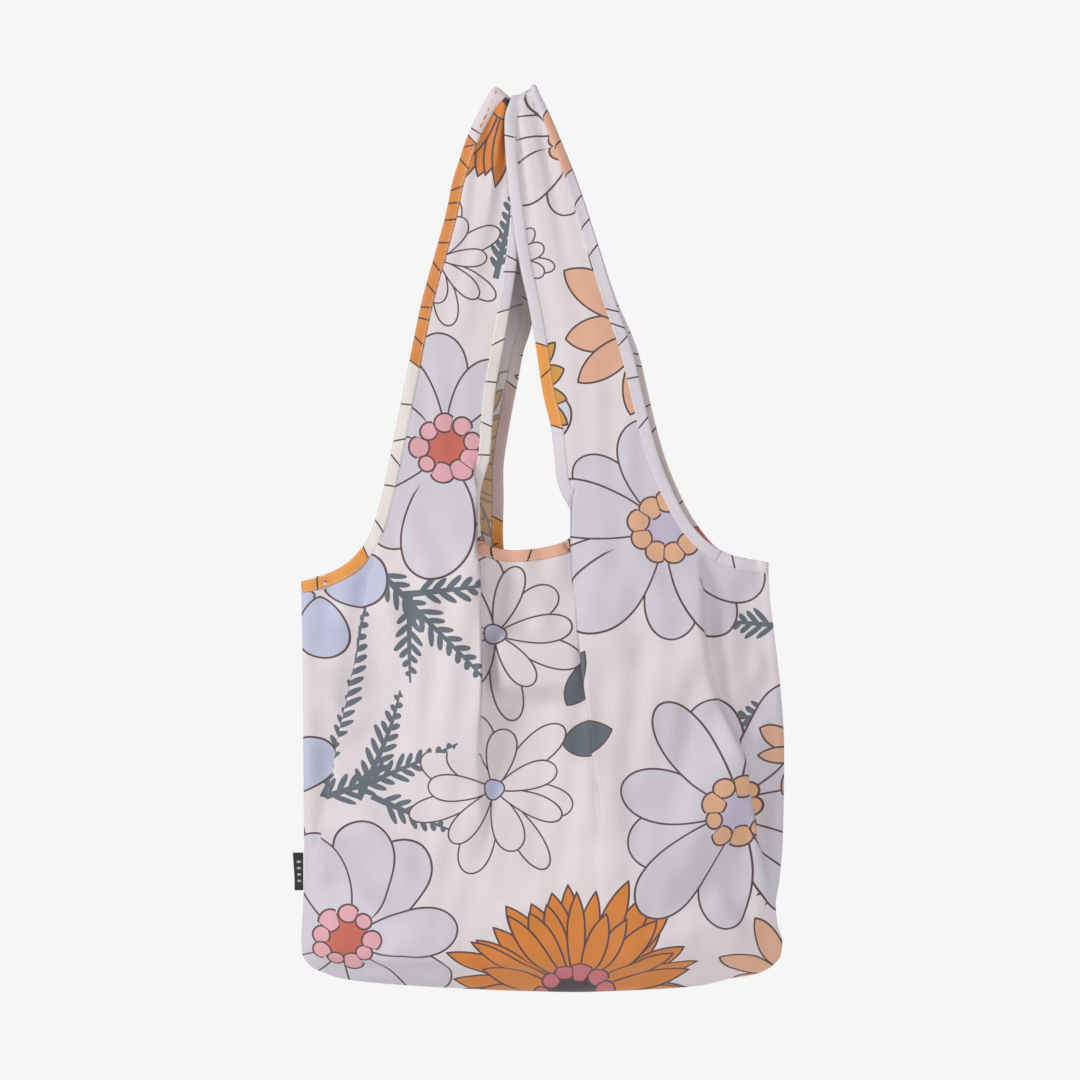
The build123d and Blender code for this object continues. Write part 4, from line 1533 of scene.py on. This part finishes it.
def neck_binding(name, face):
    """The binding along one panel's neckline, from handle to handle."""
    left, left_in, i = edge_parts("left", face, "inner")
    right, right_in, j = edge_parts("right", face, "inner")
    path = np.concatenate([left[i::-1], right[1 : j + 1]])
    inward = np.concatenate([left_in[i::-1], right_in[1 : j + 1]])
    inward = relax(inward, 3)
    build = Build("binding", "thread")
    run = path_run(path, 7000 if face == "front" else 7300)
    ring, uv = section(cloths[face, "both"], path, inward, run)
    add_tube(build, ring, uv, tint_bands("left", face, "inner", path, run))
    add_topstitch(build, cloths[face, "both"], path, inward)
    return build.object(name)


def crest_tape(name, side):
    """Tape over the seam where a handle's front and back straps meet."""
    spans, steps = np.linspace(0.06, 0.94, 19), np.array([-6.0, -5.2, -3.4, -1.7, 0.0])
    outer, inner = STRAP[side, "front", "outer"](STRAP_TOP), STRAP[side, "front", "inner"](STRAP_TOP)
    xs = outer + (inner - outer) * spans
    top, under = [], []
    for face, order in (("front", steps), ("back", steps[-2::-1])):
        for step in order:
            p = np.stack([xs, np.full(len(xs), TOP[side] + step)], 1)
            lift = 0.55 if abs(step) < 5.9 else 0.15
            top.append(cloths[face, side].place(p, lift))
            under.append(cloths[face, side].place(p, -0.35))
    build = Build("tape")
    add_shell(build, np.array(top), np.array(under))
    return build.object(name)


# ---------------------------------------------------------------- inside the bag
def seam_tape(name):
    """A strip that wraps the seam allowances inside, down one side, along the bottom and up the other."""
    zs = np.linspace(316, 30, 72)
    left = np.stack([SEAM_X["left"](zs), zs], 1)
    right = np.stack([SEAM_X["right"](zs), zs], 1)
    low = np.array([30, 22, 15, 10, 6, 3, 1, 0])
    left_low = np.stack([SEAM_X["left"](low), low + SAG(SEAM_X["left"](low))], 1)
    right_low = np.stack([SEAM_X["right"](low), low + SAG(SEAM_X["right"](low))], 1)
    bottom_x = np.linspace(-165, 160, 90)
    bottom = np.stack([bottom_x, SAG(bottom_x)], 1)
    path = np.concatenate([left, left_low[1:], bottom[1:-1], right_low[::-1], right[::-1][1:]])
    path = relax(resample(path, 4.0), 6)
    inward = relax(leftwards(path), 4)
    across = np.array([2.2, 3.0, 5.0, 7.2, 8.0])
    run = path_run(path, 0)
    wave = 0.18 * np.sin(run / 5.3 + np.sin(run / 17))
    top, under = [], []
    for t in across:
        q = path + inward * t
        half = 0.32 if 2.5 < t < 7.8 else 0.15
        top.append(np.stack([q[:, 0], wave - half, q[:, 1]], 1))
        under.append(np.stack([q[:, 0], wave + half, q[:, 1]], 1))
    build = Build("tape")
    add_shell(build, np.array(top), np.array(under))
    return build.object(name)


def label(name):
    """A folded loop of woven ribbon: two layers that meet in the side seam and part a little at the fold."""
    low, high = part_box(name)
    x0, x1 = low.x / MM, high.x / MM + 1.4
    z0, z1 = low.z / MM, high.z / MM
    rise = np.linspace(0, 1, 34)
    turn = np.concatenate([np.linspace(0, 1, 9), [1.02, 1.0], np.linspace(1, 0, 9)[1:]])
    sides = [-1] * 9 + [0] + [1] * 9
    rings, uv = [], []
    for b in rise:
        z = z0 + (z1 - z0) * b
        lean = -1.0 * (b - 0.5) + 0.25 * math.sin(b * 5)
        wave = 0.35 * math.sin(b * 4.2 + 0.7)
        ring = []
        for t, side in zip(turn, sides):
            y = side * (0.12 + 0.34 * t) + wave * t * 0.6
            ring.append((x1 + (x0 - x1 + lean) * t, y, z + 0.2 * math.sin(t * 3) * (b - 0.5)))
        rings.append(ring)
        uv.append([(7.4 * min(t, 1.0), z - z0) for t in turn])
    rings = np.array(rings)
    out = np.zeros_like(rings)
    out[..., 1] = sides
    out[:, 9, 0] = -1
    build = Build("label")
    add_shell(build, rings + out * 0.13, rings - out * 0.05, np.array(uv))
    return build.object(name + "_cloth")


def soft_sheet(build, x_span, z_span, y, thick, seed, amount=0.35, round_low=0.0, shift=(0.0, 0.0), bow=0.0):
    """A flat cloth panel with a little ripple; round_low rounds its two lower corners.

    Returns the function that puts stitches on it.
    """
    nx, nz = (max(4, int((span[1] - span[0]) / 3)) for span in (x_span, z_span))
    a, b = np.meshgrid(np.linspace(0, 1, nx), np.linspace(0, 1, nz))
    z = z_span[0] + (z_span[1] - z_span[0]) * b
    x = x_span[0] + (x_span[1] - x_span[0]) * a
    if round_low:
        rise = np.clip((z - z_span[0]) / round_low, 0, 1)
        cut = round_low * (1 - np.sqrt(1 - (1 - rise) ** 2))
        middle = sum(x_span) / 2
        half = (x_span[1] - x_span[0]) / 2
        x = middle + (x - middle) * (half - cut) / half
    rim = smooth(np.minimum(np.minimum(a, 1 - a) * 10, 1))
    wave = y + amount * ripple(x, z, seed, 48) + bow * np.sin(a * math.pi) * np.sin(b * math.pi)
    half_thick = thick / 2 * (0.45 + 0.55 * rim)
    top = np.stack([x, wave - half_thick, z], -1)
    under = np.stack([x, wave + half_thick, z], -1)
    uv = np.stack([x + shift[0], z + shift[1]], -1)
    add_shell(build, top, under, uv)

    def place(p, lift):
        depth = y + amount * ripple(p[:, 0], p[:, 1], seed, 48) - thick / 2 - np.asarray(lift) * 0.5
        return np.stack([p[:, 0], depth, p[:, 1]], 1)

    return place


HEM_LIFT = 0.12


def hem_stitches(build, place, points):
    """Topstitching along a line of print points on a flat piece."""
    line = resample(points, 2.0)
    add_stitches(build, line, leftwards(line), place, HEM_LIFT)


def limits(node):
    """A node's box in mm: its low and high x, y and z."""
    low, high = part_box(node)
    return tuple((low[k] / MM, high[k] / MM) for k in range(3))


POUCH_SHIFT, FLAP_SHIFT = (BACK_SHIFT + 30, 60), (BACK_SHIFT - 40, 130)


def pouch_back_ply(build, x, y, z):
    soft_sheet(build, x, z, sum(y) / 2, 0.55, 61, 0.12, shift=POUCH_SHIFT)


def pouch_front_ply(build, x, y, z):
    """A slightly full sheet sewn round three sides, and the narrow walls between it and the back ply."""
    (x0, x1), (z0, z1) = x, z
    place = soft_sheet(build, (x0 + 0.4, x1 - 0.4), (z0 + 0.4, z1), y[0] + 0.75, 0.5, 62, 0.16,
                       shift=POUCH_SHIFT, bow=0.5)
    rim = [(x0 + 5, z1 - 2), (x0 + 5, z0 + 5), (x1 - 5, z0 + 5), (x1 - 5, z1 - 2)]
    for a, b in zip(rim, rim[1:]):
        hem_stitches(build, place, [a, b])
    for wall in ((x0, x0 + 1.2), (x1 - 1.2, x1)):
        soft_sheet(build, wall, (z0 + 1, z1), sum(y) / 2 + 0.3, y[1] - y[0] - 1.4, 66, 0.0, shift=POUCH_SHIFT)


def pouch_mouth_binding(build, x, y, z):
    place = soft_sheet(build, x, z, sum(y) / 2, y[1] - y[0], 62, 0.12)
    for height in (z[0] + 1.8, z[1] - 1.8):
        hem_stitches(build, place, [(x[0] + 2, height), (x[1] - 2, height)])
    tint = (*BIND_ORANGE, 0.4, *BIND_ORANGE, NO_CHANGE)
    build.tints = [np.tile(tint, (len(t), 1)) for t in build.tints]


def pouch_hang_tape(build, x, y, z):
    """The tape with a box of stitches at its lower end."""
    place = soft_sheet(build, x, z, sum(y) / 2, y[1] - y[0], 63, 0.25)
    x0, x1, low, high = x[0] + 2, x[1] - 2, z[0] + 2, z[0] + 12
    box = [(x0, low), (x1, low), (x1, high), (x0, high), (x0, low)]
    for a, b in zip(box, box[1:]):
        hem_stitches(build, place, [a, b])


def pouch_flap(build, x, y, z):
    """A sheet with two round corners and a line of stitches inside its edge, arched back at its top."""
    (x0, x1), (y0, y1), (z0, z1) = x, y, z
    place = soft_sheet(build, x, (z0, z1 - 1), y0 + 0.4, 0.6, 64, 0.14, round_low=14.0, shift=FLAP_SHIFT)
    left = [(x0 + 3, z1 - 4), (x0 + 3, z0 + 15), (x0 + 8, z0 + 6), (x0 + 16, z0 + 3)]
    right = [(x0 + x1 - px, pz) for px, pz in reversed(left)]
    hem_stitches(build, place, left + right)
    a, b = np.meshgrid(np.linspace(0, 1, 21), np.linspace(0, 1, 9))
    angle = b * math.pi / 2
    across = x0 + (x1 - x0) * a
    arch_y = y0 + 0.4 + (y1 - y0 - 0.6) * (1 - np.cos(angle)) ** 0.9
    arch_z = z1 - 1.3 + np.sin(angle)
    top = np.stack([across, arch_y, arch_z + 0.28], -1)
    under = np.stack([across, arch_y + 0.05, arch_z - 0.28], -1)
    add_shell(build, top, under, np.stack([across + FLAP_SHIFT[0], z1 + FLAP_SHIFT[1] + b * 8], -1))


# ---------------------------------------------------------------- assembly
def fit(piece, node, body="bag", handle=None):
    """Puts a piece in its node's place and hides the node; a handle's piece keeps the place it was built in,
    and any other piece hangs from its body's empty.
    """
    if handle:
        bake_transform(piece)
    else:
        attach(piece, body)
    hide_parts(node)


for _face in ("front", "back"):
    fit(cloth_piece(f"{_face}_panel_cloth", _face, "both"), f"{_face}_panel")
    fit(neck_binding(f"{_face}_neck_binding_strip", _face), f"{_face}_neck_binding")
    for _side in ("left", "right"):
        _node = f"{_side}_{_face}_strap"
        fit(cloth_piece(f"{_node}_cloth", _face, _side), _node, handle=_side)
for _side in ("left", "right"):
    _node = f"{_side}_armhole_binding"
    fit(armhole_binding(f"{_node}_strip", _side), _node)
    for _edge in ("outer", "inner"):
        _node = f"{_side}_handle_{_edge}_binding"
        fit(loop_binding(f"{_node}_strip", _side, _edge), _node, handle=_side)
    _node = f"{_side}_handle_crest_tape"
    fit(crest_tape(f"{_node}_strip", _side), _node, f"{_side}_handle")
fit(seam_tape("body_seam_tape_strip"), "body_seam_tape")
fit(label("woven_side_label"), "woven_side_label", "side_label")
for _shape, _material, _ending, _body in (
    (pouch_back_ply, "cloth", "cloth", "stow_pouch"),
    (pouch_front_ply, "cloth", "cloth", "stow_pouch"),
    (pouch_mouth_binding, "binding", "cloth", "stow_pouch"),
    (pouch_hang_tape, "hang", "strip", "stow_pouch"),
    (pouch_flap, "cloth", "cloth", "stow_flap"),
):
    _node = _shape.__name__
    _build = Build(_material, "thread")
    _shape(_build, *limits(_node))
    fit(_build.object(f"{_node}_{_ending}", printed="back" if _material == "cloth" else None), _node, _body)
for name in ("snap_cap", "snap_socket", "snap_stud", "snap_post"):
    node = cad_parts[name]
    node.data.materials.clear()
    node.data.materials.append(MATERIALS["snap"])


# ---------------------------------------------------------------- stage, light and camera
FRAME_WIDTH = 0.891  # what the picture's width covers at the bag, m
LENS, SENSOR = 150.0, 36.0
AIM = Vector((0.0, 0.0, 0.3729))
AMBIENT = 0.4
FLOOR_RADIUS, FLOOR_Z = 1.6, -0.35


def stage_floor():
    """A pale round floor well below the hanging bag that fades out at its rim."""
    rings_n, sides = 24, 96
    verts, faces = [(0.0, 0.0, 0.0)], []
    for i in range(1, rings_n + 1):
        radius = FLOOR_RADIUS * i / rings_n
        for j in range(sides):
            angle = TURN * j / sides
            verts.append((radius * math.cos(angle), radius * math.sin(angle), 0.0))
    for j in range(sides):
        faces.append((0, 1 + j, 1 + (j + 1) % sides))
    for i in range(rings_n - 1):
        for j in range(sides):
            a, b = 1 + i * sides + j, 1 + i * sides + (j + 1) % sides
            faces.append((a, a + sides, b + sides, b))
    mesh = bpy.data.meshes.new("stage_floor")
    mesh.from_pydata(verts, [], faces)
    floor = bpy.data.objects.new("stage_floor", mesh)
    floor.location = (0, 0, FLOOR_Z)
    bpy.context.collection.objects.link(floor)
    g = Graph("stage_floor_paint")
    x, y, _ = g.split(g.node("ShaderNodeTexCoord").outputs["Object"])
    far = g.step(g.root(x * x + y * y), 0.5, 1.5)
    material = g.finish(srgb(246, 246, 246), 0.8, Alpha=1 - far)
    mesh.materials.append(material)


def soft_light(name, place, size, power):
    """An area light turned towards the bag's middle."""
    lamp = bpy.data.lights.new(name, "AREA")
    lamp.size, lamp.energy = size, power
    obj = bpy.data.objects.new(name, lamp)
    obj.location = place
    obj.rotation_euler = (AIM - Vector(place)).to_track_quat("-Z", "Y").to_euler()
    bpy.context.collection.objects.link(obj)


def backdrop():
    """A pale world for the camera, and a dimmer even one that lights the bag."""
    world = bpy.data.worlds.new("backdrop")
    bpy.context.scene.world = world
    world.use_nodes = True
    tree = world.node_tree
    tree.nodes.clear()
    out = tree.nodes.new("ShaderNodeOutputWorld")
    seen, fill = tree.nodes.new("ShaderNodeBackground"), tree.nodes.new("ShaderNodeBackground")
    seen.inputs[0].default_value = (*srgb(246, 246, 246), 1)
    fill.inputs[0].default_value = (1.0, 1.0, 1.0, 1)
    fill.inputs[1].default_value = AMBIENT
    mix, path = tree.nodes.new("ShaderNodeMixShader"), tree.nodes.new("ShaderNodeLightPath")
    tree.links.new(path.outputs["Is Camera Ray"], mix.inputs[0])
    tree.links.new(fill.outputs[0], mix.inputs[1])
    tree.links.new(seen.outputs[0], mix.inputs[2])
    tree.links.new(mix.outputs[0], out.inputs[0])


stage_floor()
backdrop()
soft_light("key", (-2.0, -1.3, 1.35), 0.8, 33)
soft_light("fill", (1.5, -2.3, 0.6), 1.6, 18)
soft_light("rear", (0.6, 2.2, 1.4), 1.2, 18)
camera = bpy.data.objects.new("camera", bpy.data.cameras.new("camera"))
bpy.context.collection.objects.link(camera)
camera.data.lens, camera.data.sensor_width = LENS, SENSOR
camera.location = AIM + Vector((0, -FRAME_WIDTH * LENS / SENSOR, 0))
camera.rotation_euler = (math.radians(90), 0, 0)
camera.data.clip_end = 50
bpy.context.scene.camera = camera
bpy.context.scene.view_settings.view_transform = "Standard"
